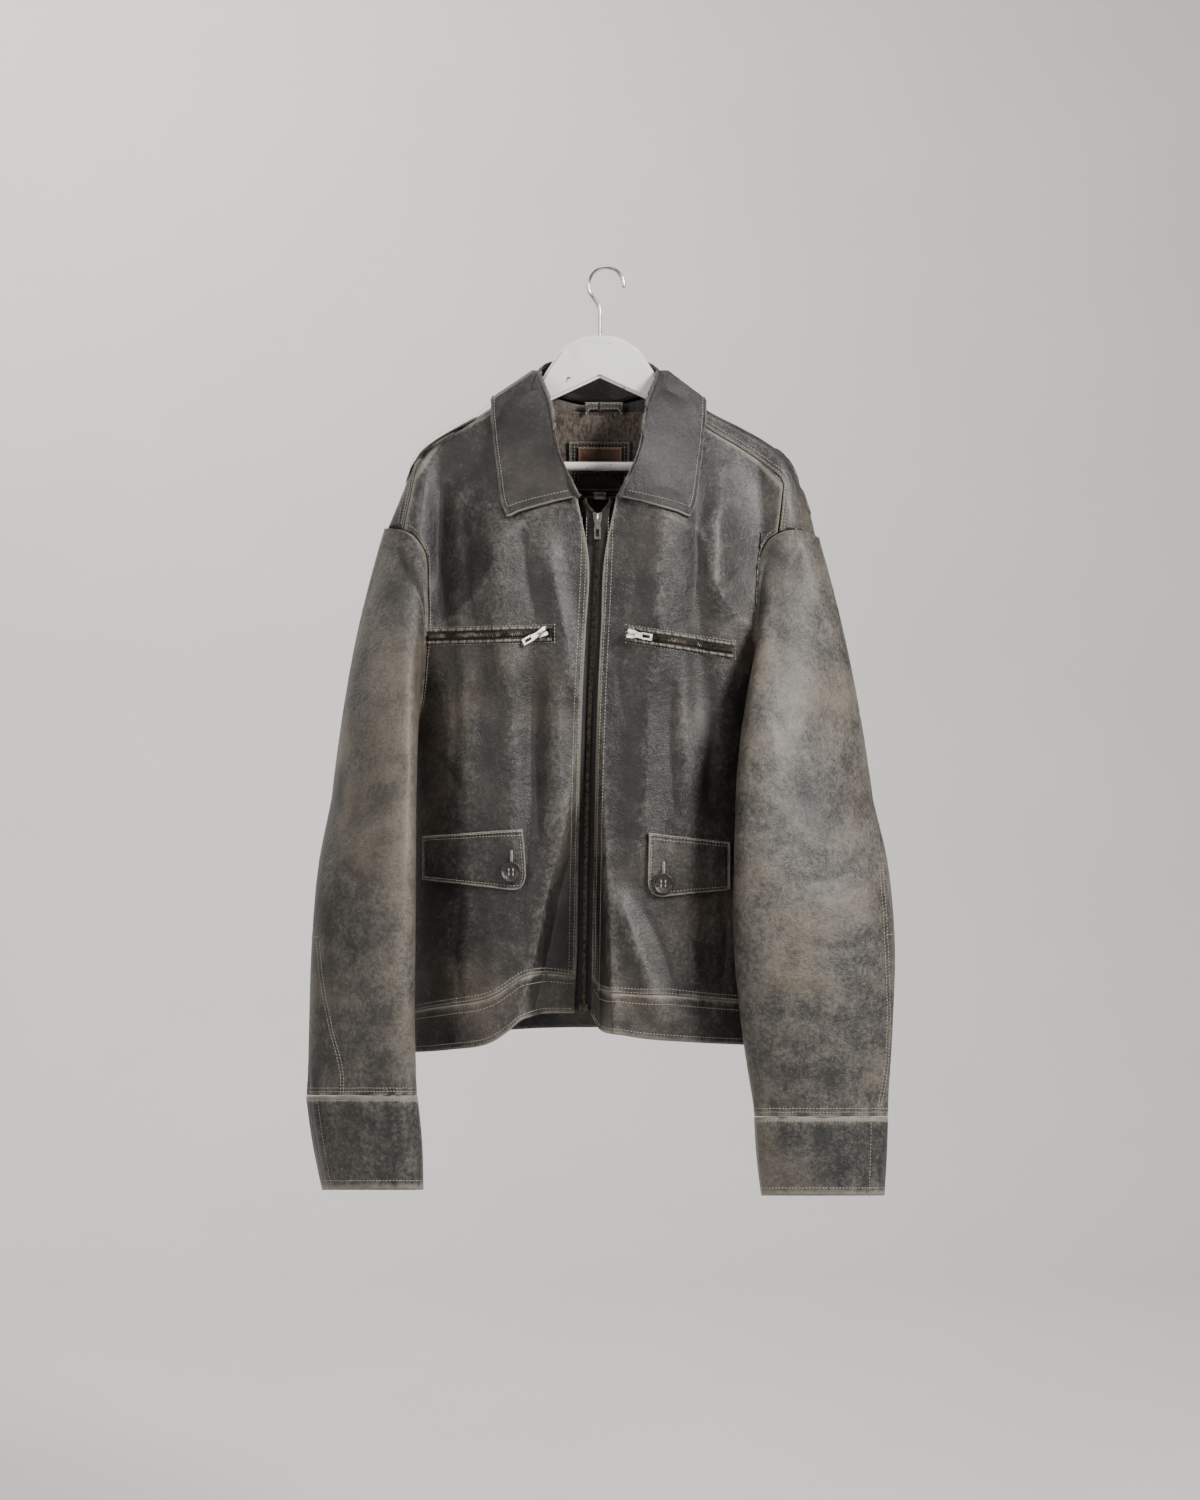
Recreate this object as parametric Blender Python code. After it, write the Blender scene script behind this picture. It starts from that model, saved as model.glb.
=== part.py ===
"""Worn leather zip jacket hanging on a white wooden hanger: metres, +Z up, the front faces -Y.

The origin is the inside top of the hanger's hook. Outlines are read in the front view, in the
hanger's plane, and moved along the sight lines to their own depth by placed().
"""

import math

import bmesh
import bpy
import numpy as np
from mathutils import Matrix, Vector

# Front view: where the eye stands, and how far from the hanger's plane
EYE_X = -0.0063
EYE_Z = -0.505
EYE_DISTANCE = 2.6

LEATHER = 0.0015
BAND_LEATHER = 0.0024
COLLAR_LEATHER = 0.0022
SEAM_GAP = 0.0003
SLEEVE_SEAM = 0.0010
UNDERARM_SEAM = 0.0100
BAND_GAP = 0.0012
# Half the step over which a surface's direction is measured
NORMAL_STEP = 0.002

# Hanger: wooden body, hook and bar
HANGER_X = -0.0063
WOOD_THICK = 0.012
WOOD_TOP = ((0.0, -0.070), (0.020, -0.0725), (0.040, -0.084), (0.057, -0.1090), (0.066, -0.1235),
            (0.076, -0.1290), (0.122, -0.1600), (0.182, -0.2015), (0.187, -0.2085))
WOOD_BOTTOM = ((0.186, -0.2200), (0.180, -0.2215), (0.120, -0.181), (0.060, -0.142), (0.0, -0.114))
HOOK_WIRE = 0.0038
HOOK_LOOP_RADIUS = 0.0186
BAR_DIAMETER = 0.0095
BAR_Z = -0.207
BAR_HALF = 0.172

# Shoulder ridge, neck point to sleeve seam, on each side of the jacket
RIDGE_RIGHT = ((-0.078, -0.117), (-0.128, -0.1505), (-0.1995, -0.1995), (-0.2125, -0.232), (-0.229, -0.272))
RIDGE_LEFT = ((0.0655, -0.117), (0.107, -0.1485), (0.141, -0.166), (0.172, -0.184), (0.190, -0.198),
              (0.204, -0.227), (0.2163, -0.2635), (0.2205, -0.282))
# Side seam, and above the underarm the edge that the front and the back close towards
FRONT_SIDE_RIGHT = ((-0.83, -0.214), (-0.56, -0.208), (-0.50, -0.207), (-0.38, -0.215), (-0.272, -0.231),
                    (-0.20, -0.236))
FRONT_SIDE_LEFT = ((-0.83, 0.204), (-0.56, 0.1855), (-0.50, 0.184), (-0.38, 0.196), (-0.282, 0.222),
                   (-0.20, 0.226))
BACK_SIDE_RIGHT = ((-0.83, -0.214), (-0.56, -0.208), (-0.50, -0.207), (-0.38, -0.252), (-0.272, -0.262),
                   (-0.20, -0.262))
BACK_SIDE_LEFT = ((-0.83, 0.204), (-0.56, 0.1855), (-0.50, 0.184), (-0.38, 0.232), (-0.282, 0.250), (-0.20, 0.250))
UNDERARM_Z = -0.50

# Depth of the body's front and back at each height, and the depth of the closed zip
FRONT_DEPTH = ((-0.82, 0.098), (-0.70, 0.092), (-0.55, 0.082), (-0.38, 0.074), (-0.25, 0.064), (-0.10, 0.050))
BACK_DEPTH = ((-0.82, 0.046), (-0.60, 0.046), (-0.40, 0.044), (-0.25, 0.034), (-0.10, 0.024))
ZIP_DEPTH = ((-0.82, 0.026), (-0.70, 0.033), (-0.55, 0.050), (-0.42, 0.064), (-0.25, 0.060), (-0.10, 0.05))
ZIP_LINE = ((-0.80, -0.0240), (-0.4525, -0.0168), (-0.29, -0.0095), (-0.20, -0.0080))
LOBE_RIGHT = ((-0.82, -0.0985), (-0.79, -0.0915), (-0.7066, -0.0725), (-0.6636, -0.0641), (-0.5722, -0.041),
              (-0.503, -0.0336), (-0.42, -0.030))
LOBE_LEFT = ((-0.82, -0.0010), (-0.7675, -0.0021), (-0.6625, -0.0063), (-0.5575, -0.0105), (-0.42, -0.0110))
STEP_WIDTH = 0.015
RIDGE_HALF = 0.0105
RIDGE_ROUND = 0.006
SIDE_SHIFT = 0.0009
CHEST_DROP = 0.12
FRONT_POWER = 2.6
BACK_POWER = 4.0

# Largest folds of the cloth: x and z of both ends, half-width, height towards the outside
FRONT_FOLDS = (
    (-0.118, -0.24, -0.108, -0.42, 0.024, 0.009),
    (-0.176, -0.22, -0.170, -0.42, 0.014, -0.010),
    (-0.060, -0.29, -0.034, -0.44, 0.014, 0.008),
    (-0.104, -0.40, -0.100, -0.60, 0.018, 0.005),
    (-0.150, -0.44, -0.160, -0.78, 0.022, 0.005),
    (-0.055, -0.40, -0.052, -0.60, 0.014, 0.006),
    (-0.075, -0.44, -0.082, -0.62, 0.012, -0.006),
    (0.062, -0.24, 0.052, -0.42, 0.022, 0.010),
    (0.120, -0.20, 0.116, -0.34, 0.020, 0.006),
    (0.100, -0.26, 0.098, -0.46, 0.014, -0.009),
    (0.045, -0.44, 0.040, -0.62, 0.016, 0.006),
    (0.082, -0.44, 0.088, -0.78, 0.020, 0.005),
    (0.012, -0.66, 0.056, -0.78, 0.016, 0.007),
)
BACK_FOLDS = (
    (-0.135, -0.26, -0.110, -0.76, 0.030, 0.008),
    (-0.060, -0.30, -0.050, -0.80, 0.026, -0.006),
    (0.010, -0.26, 0.020, -0.80, 0.030, 0.006),
    (0.080, -0.30, 0.070, -0.80, 0.026, -0.006),
    (0.140, -0.26, 0.120, -0.76, 0.030, 0.008),
)

# Panel outlines in the front view
HEM_RIGHT = ((-0.0330, -0.7812), (-0.075, -0.784), (-0.0914, -0.7906), (-0.1008, -0.7990), (-0.1218, -0.8127),
             (-0.165, -0.8200), (-0.2137, -0.8232))
HEM_LEFT = ((-0.0155, -0.7835), (-0.0063, -0.7990), (0.0200, -0.8053), (0.0987, -0.8127), (0.1460, -0.8148),
            (0.2037, -0.8180))
HEM_BACK = ((-0.2137, -0.8210), (-0.12, -0.8010), (-0.02, -0.7960), (0.08, -0.8000), (0.2037, -0.8160))
BAND_HEIGHT = 0.040
SIDE_HEIGHT = 0.56
ARMHOLE_FRONT_RIGHT = ((-0.207, -0.500), (-0.196, -0.472), (-0.188, -0.410), (-0.186, -0.340),
                       (-0.1925, -0.2900), (-0.2037, -0.2775), (-0.2135, -0.2735))
ARMHOLE_FRONT_LEFT = ((0.184, -0.500), (0.171, -0.468), (0.160, -0.410), (0.157, -0.340), (0.1638, -0.2939),
                      (0.1701, -0.2834), (0.1806, -0.2765))
ARMHOLE_TOP_RIGHT = ((-0.2135, -0.2735), (-0.2215, -0.2722), (-0.229, -0.272))
ARMHOLE_TOP_LEFT = ((0.1806, -0.2765), (0.1838, -0.2750), (0.2037, -0.2745), (0.2205, -0.282))
ARMHOLE_BACK_RIGHT = ((-0.207, -0.500), (-0.214, -0.470), (-0.220, -0.420), (-0.223, -0.350), (-0.226, -0.295),
                      (-0.229, -0.272))
ARMHOLE_BACK_LEFT = ((0.184, -0.500), (0.188, -0.470), (0.192, -0.420), (0.200, -0.350), (0.212, -0.300),
                     (0.2205, -0.282))
NECK_RIGHT = ((-0.0300, -0.2404), (-0.052, -0.195), (-0.072, -0.140), (-0.078, -0.1185))
NECK_LEFT = ((0.0110, -0.2372), (0.036, -0.195), (0.060, -0.150), (0.068, -0.138))
SHOULDER_SEAM_RIGHT = ((-0.078, -0.1185), (-0.128, -0.1535), (-0.1974, -0.2026), (-0.2048, -0.2320),
                       (-0.2135, -0.2735))
SHOULDER_SEAM_LEFT = ((0.068, -0.138), (0.110, -0.1690), (0.1418, -0.1879), (0.1659, -0.2047), (0.1859, -0.2236),
                      (0.1850, -0.2400), (0.1806, -0.2765))
NECK_BACK = ((-0.078, -0.117), (-0.062, -0.131), (-0.035, -0.141), (-0.0063, -0.144), (0.022, -0.141),
             (0.050, -0.131), (0.0655, -0.117))

# Sleeves: height, outer and inner edge in the front view, depth of the middle, half depth, twist
SLEEVE_RIGHT = (
    (-0.272, -0.2310, -0.1900, 0.000, 0.040, 0.010),
    (-0.320, -0.2440, -0.1905, -0.008, 0.048, 0.016),
    (-0.390, -0.2590, -0.1935, -0.018, 0.056, 0.026),
    (-0.460, -0.2735, -0.1965, -0.030, 0.056, 0.036),
    (-0.555, -0.2885, -0.1990, -0.050, 0.050, 0.042),
    (-0.620, -0.3015, -0.1993, -0.066, 0.050, 0.040),
    (-0.700, -0.3090, -0.1998, -0.080, 0.048, 0.034),
    (-0.790, -0.3122, -0.2004, -0.088, 0.044, 0.028),
    (-0.868, -0.3138, -0.1985, -0.090, 0.040, 0.020),
)
CUFF_RIGHT = (
    (-0.871, -0.3136, -0.1984, -0.090, 0.040, 0.020),
    (-0.918, -0.3060, -0.1950, -0.089, 0.038, 0.016),
    (-0.967, -0.2972, -0.1925, -0.088, 0.037, 0.014),
)
SLEEVE_LEFT = (
    (-0.272, 0.2190, 0.1640, 0.000, 0.040, 0.010),
    (-0.320, 0.2310, 0.1570, -0.012, 0.046, 0.016),
    (-0.390, 0.2478, 0.1455, -0.026, 0.054, 0.024),
    (-0.460, 0.2625, 0.1395, -0.044, 0.052, 0.032),
    (-0.555, 0.2805, 0.1360, -0.066, 0.047, 0.034),
    (-0.620, 0.2955, 0.1342, -0.080, 0.047, 0.030),
    (-0.700, 0.3035, 0.1336, -0.090, 0.046, 0.022),
    (-0.790, 0.3018, 0.1412, -0.094, 0.041, 0.014),
    (-0.890, 0.2955, 0.1562, -0.094, 0.035, 0.008),
)
CUFF_LEFT = (
    (-0.893, 0.2950, 0.1567, -0.094, 0.034, 0.008),
    (-0.935, 0.2925, 0.1605, -0.093, 0.032, 0.006),
    (-0.973, 0.2915, 0.1640, -0.092, 0.031, 0.004),
)
SLEEVE_POWER = 0.86
# Where the underarm point lies on the sleeve's section, from its outer edge over the front
UNDERARM_TURN = {"right": math.radians(226), "left": math.radians(254)}
UNDER_COLUMNS = 9

# Collar, from the front end over the neck point to the middle of the back: x, y, z
COLLAR_SEAM = ((-0.0300, -0.0600, -0.2410), (-0.050, -0.054, -0.200), (-0.074, -0.026, -0.144),
               (-0.0795, 0.002, -0.1120), (-0.064, 0.0185, -0.1270), (-0.0063, 0.0260, -0.1400))
COLLAR_ROLL = ((-0.0265, -0.0680, -0.2395), (-0.0470, -0.0640, -0.195), (-0.0570, -0.0420, -0.142),
               (-0.0680, -0.0040, -0.1060), (-0.0590, 0.0175, -0.0990), (-0.0063, 0.0300, -0.0975))
COLLAR_EDGE = ((-0.1090, -0.0600, -0.2590), (-0.1140, -0.0400, -0.215), (-0.1190, -0.0200, -0.172),
               (-0.1200, -0.0010, -0.1365), (-0.1040, 0.0270, -0.1500), (-0.0063, 0.0420, -0.1660))
COLLAR_LEFT_SHIFT = 0.0030
LEAF_CLEARANCE = 0.0062

# Inside the neck: facing, labels, loop
FACING_TOP_Z = -0.150
FACING_BOTTOM_Z = -0.262
FACING_HALF_WIDTH = 0.058
LOOP_WIDTH = 0.042
LABEL_FRAME = (-0.0399, 0.0263, -0.2410, -0.1805)
LABEL_PLATE = (-0.0305, 0.0179, -0.2030, -0.1862)
SEWN_LABEL = (-0.0326, 0.0168, -0.2335, -0.2115)
SIZE_TAG = (-0.0137, -0.0010, -0.2420, -0.2345)

# Zips
ZIP_TOP_Z = -0.2420
ZIP_SPLIT_Z = -0.2689
ZIP_BOTTOM_Z = -0.7790
ZIP_EDGE = 0.0078
CHAIN_WIDTH = 0.0060
CHAIN_THICK = 0.0022
TAPE_HIDDEN = 0.0035
TAPE_THICK = 0.0010
SLIDER_SIZE = (0.0095, 0.0050, 0.0120)
PULL_SIZE = (0.0070, 0.0014, 0.0190)
PULL_HOLE = (0.0028, 0.0075)
# How far the pull reaches above its axis: short enough to turn clear of the slider
PULL_EYE = 0.0008
CHEST_ZIP_RIGHT = ((-0.1870, -0.3858), (-0.0570, -0.3826))
CHEST_ZIP_LEFT = ((0.0240, -0.3827), (0.1330, -0.4004))
CHEST_ZIP_HEIGHT = 0.0130

# Pocket flaps and buttons
FLAP_RIGHT = ((-0.1900, -0.5958), (-0.0893, -0.5880), (-0.0830, -0.6545), (-0.1900, -0.6412))
FLAP_LEFT = ((0.0441, -0.5922), (0.1290, -0.6021), (0.1290, -0.6517), (0.0431, -0.6610))
FLAP_THICK = 0.0026
BUTTON_RIGHT = (-0.0992, -0.6331)
BUTTON_LEFT = (0.0599, -0.6447)
BUTTON_DIAMETER = 0.0220
BUTTON_THICK = 0.0042


def material(name, colour, roughness, metallic=0.0):
    found = bpy.data.materials.new(name)
    found.use_nodes = True
    shader = found.node_tree.nodes["Principled BSDF"]
    shader.inputs["Base Color"].default_value = (*colour, 1.0)
    shader.inputs["Roughness"].default_value = roughness
    shader.inputs["Metallic"].default_value = metallic
    return found


def add_object(name, verts, faces, look, smooth=True):
    mesh = bpy.data.meshes.new(name)
    mesh.from_pydata([tuple(map(float, v)) for v in verts], [], [tuple(map(int, f)) for f in faces])
    mesh.validate()
    mesh.materials.append(look)
    if smooth:
        mesh.shade_smooth()
    made = bpy.data.objects.new(name, mesh)
    bpy.context.collection.objects.link(made)
    return made


def solidify(made, thickness, offset=-1.0):
    wall = made.modifiers.new("wall", "SOLIDIFY")
    wall.thickness = thickness
    wall.offset = offset
    wall.use_even_offset = False
    return made


def placed(points):
    """Front-view points (x, y, z) moved along their sight lines to the depth y."""
    points = np.asarray(points, float)
    scale = 1.0 + points[..., 1] / EYE_DISTANCE
    x = EYE_X + (points[..., 0] - EYE_X) * scale
    z = EYE_Z + (points[..., 2] - EYE_Z) * scale
    return np.stack([x, points[..., 1], z], -1)


def seen(points):
    """Front-view points (x, y, z) of points in space."""
    scale = 1.0 + points[..., 1] / EYE_DISTANCE
    x = EYE_X + (points[..., 0] - EYE_X) / scale
    z = EYE_Z + (points[..., 2] - EYE_Z) / scale
    return np.stack([x, points[..., 1], z], -1)


def value_at(table, z):
    """Smooth value of a (height, value) table at z."""
    heights = np.array([row[0] for row in table], float)
    values = np.array([row[1] for row in table], float)
    slopes = np.gradient(values, heights)
    z = np.clip(z, heights[0], heights[-1])
    i = np.clip(np.searchsorted(heights, z) - 1, 0, len(heights) - 2)
    span = heights[i + 1] - heights[i]
    t = (z - heights[i]) / span
    low = (2 * t**3 - 3 * t**2 + 1) * values[i] + (t**3 - 2 * t**2 + t) * span * slopes[i]
    return low + (3 * t**2 - 2 * t**3) * values[i + 1] + (t**3 - t**2) * span * slopes[i + 1]


def along(points, t, smooth=True):
    """Points at the shares t of the length of a path through the given points."""
    points = np.asarray(points, float)
    steps = np.linalg.norm(np.diff(points, axis=0), axis=1)
    at = np.concatenate([[0.0], np.cumsum(steps)]) / steps.sum()
    t = np.asarray(t, float)
    if not smooth or len(points) < 3:
        return np.stack([np.interp(t, at, points[:, k]) for k in range(points.shape[1])], -1)
    columns = [value_at(list(zip(at, points[:, k])), t) for k in range(points.shape[1])]
    return np.stack(columns, -1)


def smooth_step(t):
    t = np.clip(t, 0.0, 1.0)
    return t * t * (3 - 2 * t)


def distance_to(line, x, z):
    """Distance in the front view from (x, z) to a line of points."""
    best = np.full(np.shape(x), 9.0)
    for (ax, az), (bx, bz) in zip(line, line[1:]):
        length = (bx - ax) ** 2 + (bz - az) ** 2
        t = np.clip(((x - ax) * (bx - ax) + (z - az) * (bz - az)) / length, 0.0, 1.0)
        best = np.minimum(best, np.hypot(x - ax - t * (bx - ax), z - az - t * (bz - az)))
    return best


def folds_at(folds, x, z):
    total = np.zeros(np.shape(x))
    for ax, az, bx, bz, width, height in folds:
        t = np.clip((z - az) / (bz - az), -0.4, 1.4)
        centre = ax + t * (bx - ax)
        fade = smooth_step((t + 0.25) / 0.35) * smooth_step((1.25 - t) / 0.35)
        total = total + height * fade * np.exp(-(((x - centre) / width) ** 2))
    return total


def side_y(z):
    return 0.012 * smooth_step((-0.24 - z) / 0.25)


def depth_under_ridge(x, distance, depth):
    """Depth reached at a distance below the shoulder ridge: thin over the hanger, full past its ends."""
    near = np.clip(distance / RIDGE_ROUND, 0.0, 1.0)
    grown = np.minimum(smooth_step(0.5 * distance / CHEST_DROP + 0.02) * 2, 1.0)
    thin = RIDGE_HALF * np.sqrt(1 - (1 - near) ** 2) + (depth - RIDGE_HALF) * grown
    far = np.clip(distance / 0.055, 0.0, 1.0)
    full = depth * np.sqrt(1 - (1 - far) ** 2)
    end = smooth_step((np.abs(x - EYE_X) - 0.165) / 0.045)
    return thin * (1 - end) + full * end


def lens(x, z, right_side, left_side, power):
    """Share of the depth left by the closing of the section towards its sides."""
    edge = np.where(x < EYE_X, value_at(right_side, z), value_at(left_side, z))
    share = np.clip((x - EYE_X) / (edge - EYE_X), 0.0, 1.0)
    return np.sqrt(np.clip(1 - share**power, 0.0, 1.0))


def ridge_distance(x, z):
    return np.minimum(distance_to(RIDGE_RIGHT, x, z), distance_to(RIDGE_LEFT, x, z))


def front_y(x, z):
    """Depth of the front's outer face at a point of the front view."""
    x = np.asarray(x, float)
    z = np.asarray(z, float)
    close = lens(x, z, FRONT_SIDE_RIGHT, FRONT_SIDE_LEFT, FRONT_POWER)
    distance = ridge_distance(x, z)
    full = value_at(FRONT_DEPTH, z)
    folds = folds_at(FRONT_FOLDS, x, z) * smooth_step(distance / 0.06)
    lobe = side_y(z) - SIDE_SHIFT - (depth_under_ridge(x, distance, full) + folds) * close
    valley = -value_at(ZIP_DEPTH, z)
    from_right = smooth_step((x - value_at(LOBE_RIGHT, z)) / STEP_WIDTH)
    from_left = smooth_step((value_at(LOBE_LEFT, z) + 0.004 - x) / STEP_WIDTH + 0.35)
    lane = from_right * from_left * smooth_step((-0.36 - z) / 0.12)
    neck = smooth_step((z + 0.42) / 0.12) * np.exp(-(((x - value_at(ZIP_LINE, z)) / 0.045) ** 2))
    neck = neck * smooth_step(distance / 0.08)
    lobe = lobe + neck * (valley - lobe) * 0.85
    return lobe + lane * (valley - lobe)


def back_y(x, z):
    """Depth of the back's outer face."""
    x = np.asarray(x, float)
    z = np.asarray(z, float)
    close = lens(x, z, BACK_SIDE_RIGHT, BACK_SIDE_LEFT, BACK_POWER)
    distance = ridge_distance(x, z)
    full = value_at(BACK_DEPTH, z)
    folds = folds_at(BACK_FOLDS, x, z) * smooth_step(distance / 0.06)
    return side_y(z) + SIDE_SHIFT + (depth_under_ridge(x, distance, full) + folds) * close


def coons(bottom, top_row, start, end, across, up):
    """Grid of front-view points inside three edges and a given top row; up holds the shares of the rows."""
    u = across[None, :, None]
    v = up[:, None, None]
    low = along(bottom, across)[None]
    high = top_row[None]
    left = along(start, up)[:, None]
    right = along(end, up)[:, None]
    corners = (1 - u) * (1 - v) * low[:, :1] + u * (1 - v) * low[:, -1:]
    corners = corners + (1 - u) * v * high[:, :1] + u * v * high[:, -1:]
    return (1 - v) * low + v * high + (1 - u) * left + u * right - corners


def grid_faces(rows, columns, flip=False, ring=False):
    faces = []
    last = columns if ring else columns - 1
    for r in range(rows - 1):
        for c in range(last):
            n = (c + 1) % columns
            quad = (r * columns + c, r * columns + n, (r + 1) * columns + n, (r + 1) * columns + c)
            faces.append(quad[::-1] if flip else quad)
    return faces


def joined(*paths):
    """One path from several that meet end to end."""
    whole = list(paths[0])
    for path in paths[1:]:
        whole += list(path[1:])
    return tuple(whole)


FRONTS = {
    "right": {"hem": HEM_RIGHT, "neck": NECK_RIGHT, "shoulder": SHOULDER_SEAM_RIGHT,
              "armhole": ARMHOLE_FRONT_RIGHT, "sign": -1},
    "left": {"hem": HEM_LEFT, "neck": NECK_LEFT, "shoulder": SHOULDER_SEAM_LEFT,
             "armhole": ARMHOLE_FRONT_LEFT, "sign": 1},
}
NECK_COLUMNS = 6
SHOULDER_COLUMNS = 12
SIDE_CROWDING = 1.35
PANEL_ROWS = 18
BAND_ROWS = 3
# Shares of a panel's height that lie just under the shoulder ridge, where it turns over the hanger
RIDGE_SHARES = (0.966, 0.986, 0.9945)


def zip_edge(sign, low, high, count=9):
    heights = np.linspace(low, high, count)
    return [(float(value_at(ZIP_LINE, z)) + sign * ZIP_EDGE, float(z)) for z in heights]


def top_row(side):
    """Top edge of a front: neckline, then shoulder seam."""
    neck = along(FRONTS[side]["neck"], np.linspace(0, 1, NECK_COLUMNS))
    shoulder = along(FRONTS[side]["shoulder"], np.linspace(0, 1, SHOULDER_COLUMNS))
    return np.concatenate([neck, shoulder[1:]])


def panel_shares(top):
    """Shares of the rows above the hem band, crowded towards the shoulder."""
    split = band_share() + BAND_GAP
    even = np.linspace(split, 0.93, PANEL_ROWS - len(RIDGE_SHARES) - 1)
    return np.concatenate([even, RIDGE_SHARES, [top]])


def side_seam(corner, table):
    """Side seam from a hem corner up to the underarm, on the line that the section closes towards."""
    heights = [*np.linspace(corner[1], UNDERARM_Z, 6)[1:-1], UNDERARM_Z]
    return [corner, *[(float(value_at(table, z)), float(z)) for z in heights]]


def front_grid(side, across, up):
    """Points in the front view of one front, from the zip to the side and from the hem up."""
    panel = FRONTS[side]
    hem = panel["hem"]
    centre = zip_edge(panel["sign"], hem[0][1], panel["neck"][0][1])
    centre[0] = hem[0]
    centre[-1] = panel["neck"][0]
    table = FRONT_SIDE_RIGHT if side == "right" else FRONT_SIDE_LEFT
    outer = joined(side_seam(hem[-1], table), panel["armhole"])
    return coons(hem, top_row(side), centre, outer, across, up)


def with_depth(flat, depth):
    return np.stack([flat[..., 0], depth(flat[..., 0], flat[..., 1]), flat[..., 1]], -1)


def band_share():
    return BAND_HEIGHT / SIDE_HEIGHT


def front_panel(side, look, band_look):
    """One front above its hem band, and the band."""
    sign = FRONTS[side]["sign"]
    count = NECK_COLUMNS + SHOULDER_COLUMNS - 1
    across = 1 - (1 - np.linspace(0.0, 1.0, count)) ** SIDE_CROWDING
    up = panel_shares(0.9985)
    flat = front_grid(side, across, up)
    points = placed(with_depth(flat, front_y))
    rows, columns = flat.shape[:2]
    faces = grid_faces(rows, columns, flip=sign < 0)
    made = add_object(side + "_front", points.reshape(-1, 3), faces, look)
    solidify(made, LEATHER)
    low = front_grid(side, across, np.linspace(0.0, band_share() - BAND_GAP, BAND_ROWS))
    points = placed(with_depth(low, front_y))
    band = add_object(side + "_hem_band", points.reshape(-1, 3), grid_faces(BAND_ROWS, columns, flip=sign < 0),
                      band_look)
    solidify(band, BAND_LEATHER)


BACK_NECK_COLUMNS = 9
STRIP_STEPS = (0.2, 0.55, 0.96)


def back_panel(look, band_look):
    """The back: from the hem to the neck and the shoulder ridges, then forward to the shoulder seams."""
    ridge_right = along(RIDGE_RIGHT[::-1], np.linspace(0, 1, SHOULDER_COLUMNS))
    ridge_left = along(RIDGE_LEFT, np.linspace(0, 1, SHOULDER_COLUMNS))
    neck = along(NECK_BACK, np.linspace(0, 1, BACK_NECK_COLUMNS))
    top = np.concatenate([ridge_right[:-1], neck, ridge_left[1:]])
    even = np.linspace(-1.0, 1.0, len(top))
    share = 0.5 + 0.5 * np.sign(even) * (1 - (1 - np.abs(even)) ** SIDE_CROWDING)
    start = joined(side_seam(HEM_BACK[0], BACK_SIDE_RIGHT), ARMHOLE_BACK_RIGHT)
    end = joined(side_seam(HEM_BACK[-1], BACK_SIDE_LEFT), ARMHOLE_BACK_LEFT)
    flat = coons(HEM_BACK, top, start, end, share, panel_shares(1.0))
    points = placed(with_depth(flat, back_y))
    strips = shoulder_strips(ridge_right, ridge_left)
    rows, columns = flat.shape[:2]
    verts = list(points.reshape(-1, 3))
    faces = grid_faces(rows, columns, flip=True)
    for first, strip in strips:
        count = strip.shape[1]
        base = [(rows - 1) * columns + first + c for c in range(count)]
        for row in strip:
            start_at = len(verts)
            verts += list(row)
            here = [start_at + c for c in range(count)]
            for c in range(count - 1):
                faces.append((base[c + 1], base[c], here[c], here[c + 1]))
            base = here
    made = add_object("back", verts, faces, look)
    solidify(made, LEATHER)
    low = coons(HEM_BACK, top, start, end, share, np.linspace(0.0, band_share() - BAND_GAP, BAND_ROWS))
    points = placed(with_depth(low, back_y))
    band = add_object("back_hem_band", points.reshape(-1, 3), grid_faces(BAND_ROWS, columns, flip=True), band_look)
    solidify(band, BAND_LEATHER)


def shoulder_strips(ridge_right, ridge_left):
    """Rows of the back that lie in front of the ridge, for each shoulder, with their first column."""
    found = []
    last = SHOULDER_COLUMNS - 1
    for seam, arm_top, first, ridge, outer in (
        (SHOULDER_SEAM_RIGHT[::-1], ARMHOLE_TOP_RIGHT, 0, ridge_right, 0),
        (SHOULDER_SEAM_LEFT, ARMHOLE_TOP_LEFT, last + BACK_NECK_COLUMNS - 1, ridge_left, last),
    ):
        line = along(seam, np.linspace(0, 1, SHOULDER_COLUMNS))
        rows = []
        for step in STRIP_STEPS:
            flat = ridge + (line - ridge) * step
            flat[outer] = along(arm_top[::-1], [step])[0]
            rows.append(placed(with_depth(flat, front_y)))
        found.append((first, np.array(rows)))
    return found


def loop_points(side, count):
    """The armhole as a closed ring in space: top, front, underarm, back."""
    names = {
        "right": (ARMHOLE_FRONT_RIGHT, ARMHOLE_TOP_RIGHT, ARMHOLE_BACK_RIGHT),
        "left": (ARMHOLE_FRONT_LEFT, ARMHOLE_TOP_LEFT, ARMHOLE_BACK_LEFT),
    }
    front, top, back = names[side]
    path = joined(top[::-1], front[::-1])
    half = count // 2
    fore = along(path, np.linspace(0, 1, half + 1))
    aft = along(back, np.linspace(0, 1, count - half + 1))
    fore = placed(with_depth(fore, front_y))
    aft = placed(with_depth(aft, back_y))
    return np.concatenate([fore[:-1], aft[:-1]])


def ring_at(row, count, side):
    """One closed section of a sleeve, from its outer edge over the front to the inner edge and the back."""
    z, outer, inner, middle, half_depth, twist = row
    half = count // 2
    under = UNDERARM_TURN[side]
    front = np.linspace(0, under, half, endpoint=False)
    turn = np.concatenate([front, np.linspace(under, 2 * math.pi, count - half, endpoint=False)])
    across = np.sign(np.cos(turn)) * np.abs(np.cos(turn)) ** SLEEVE_POWER
    deep = np.sign(np.sin(turn)) * np.abs(np.sin(turn)) ** SLEEVE_POWER
    x = (outer + inner) / 2 + (outer - inner) / 2 * across
    y = middle - half_depth * deep + twist * across
    return placed(np.stack([x, y, np.full(count, z)], -1))


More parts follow.
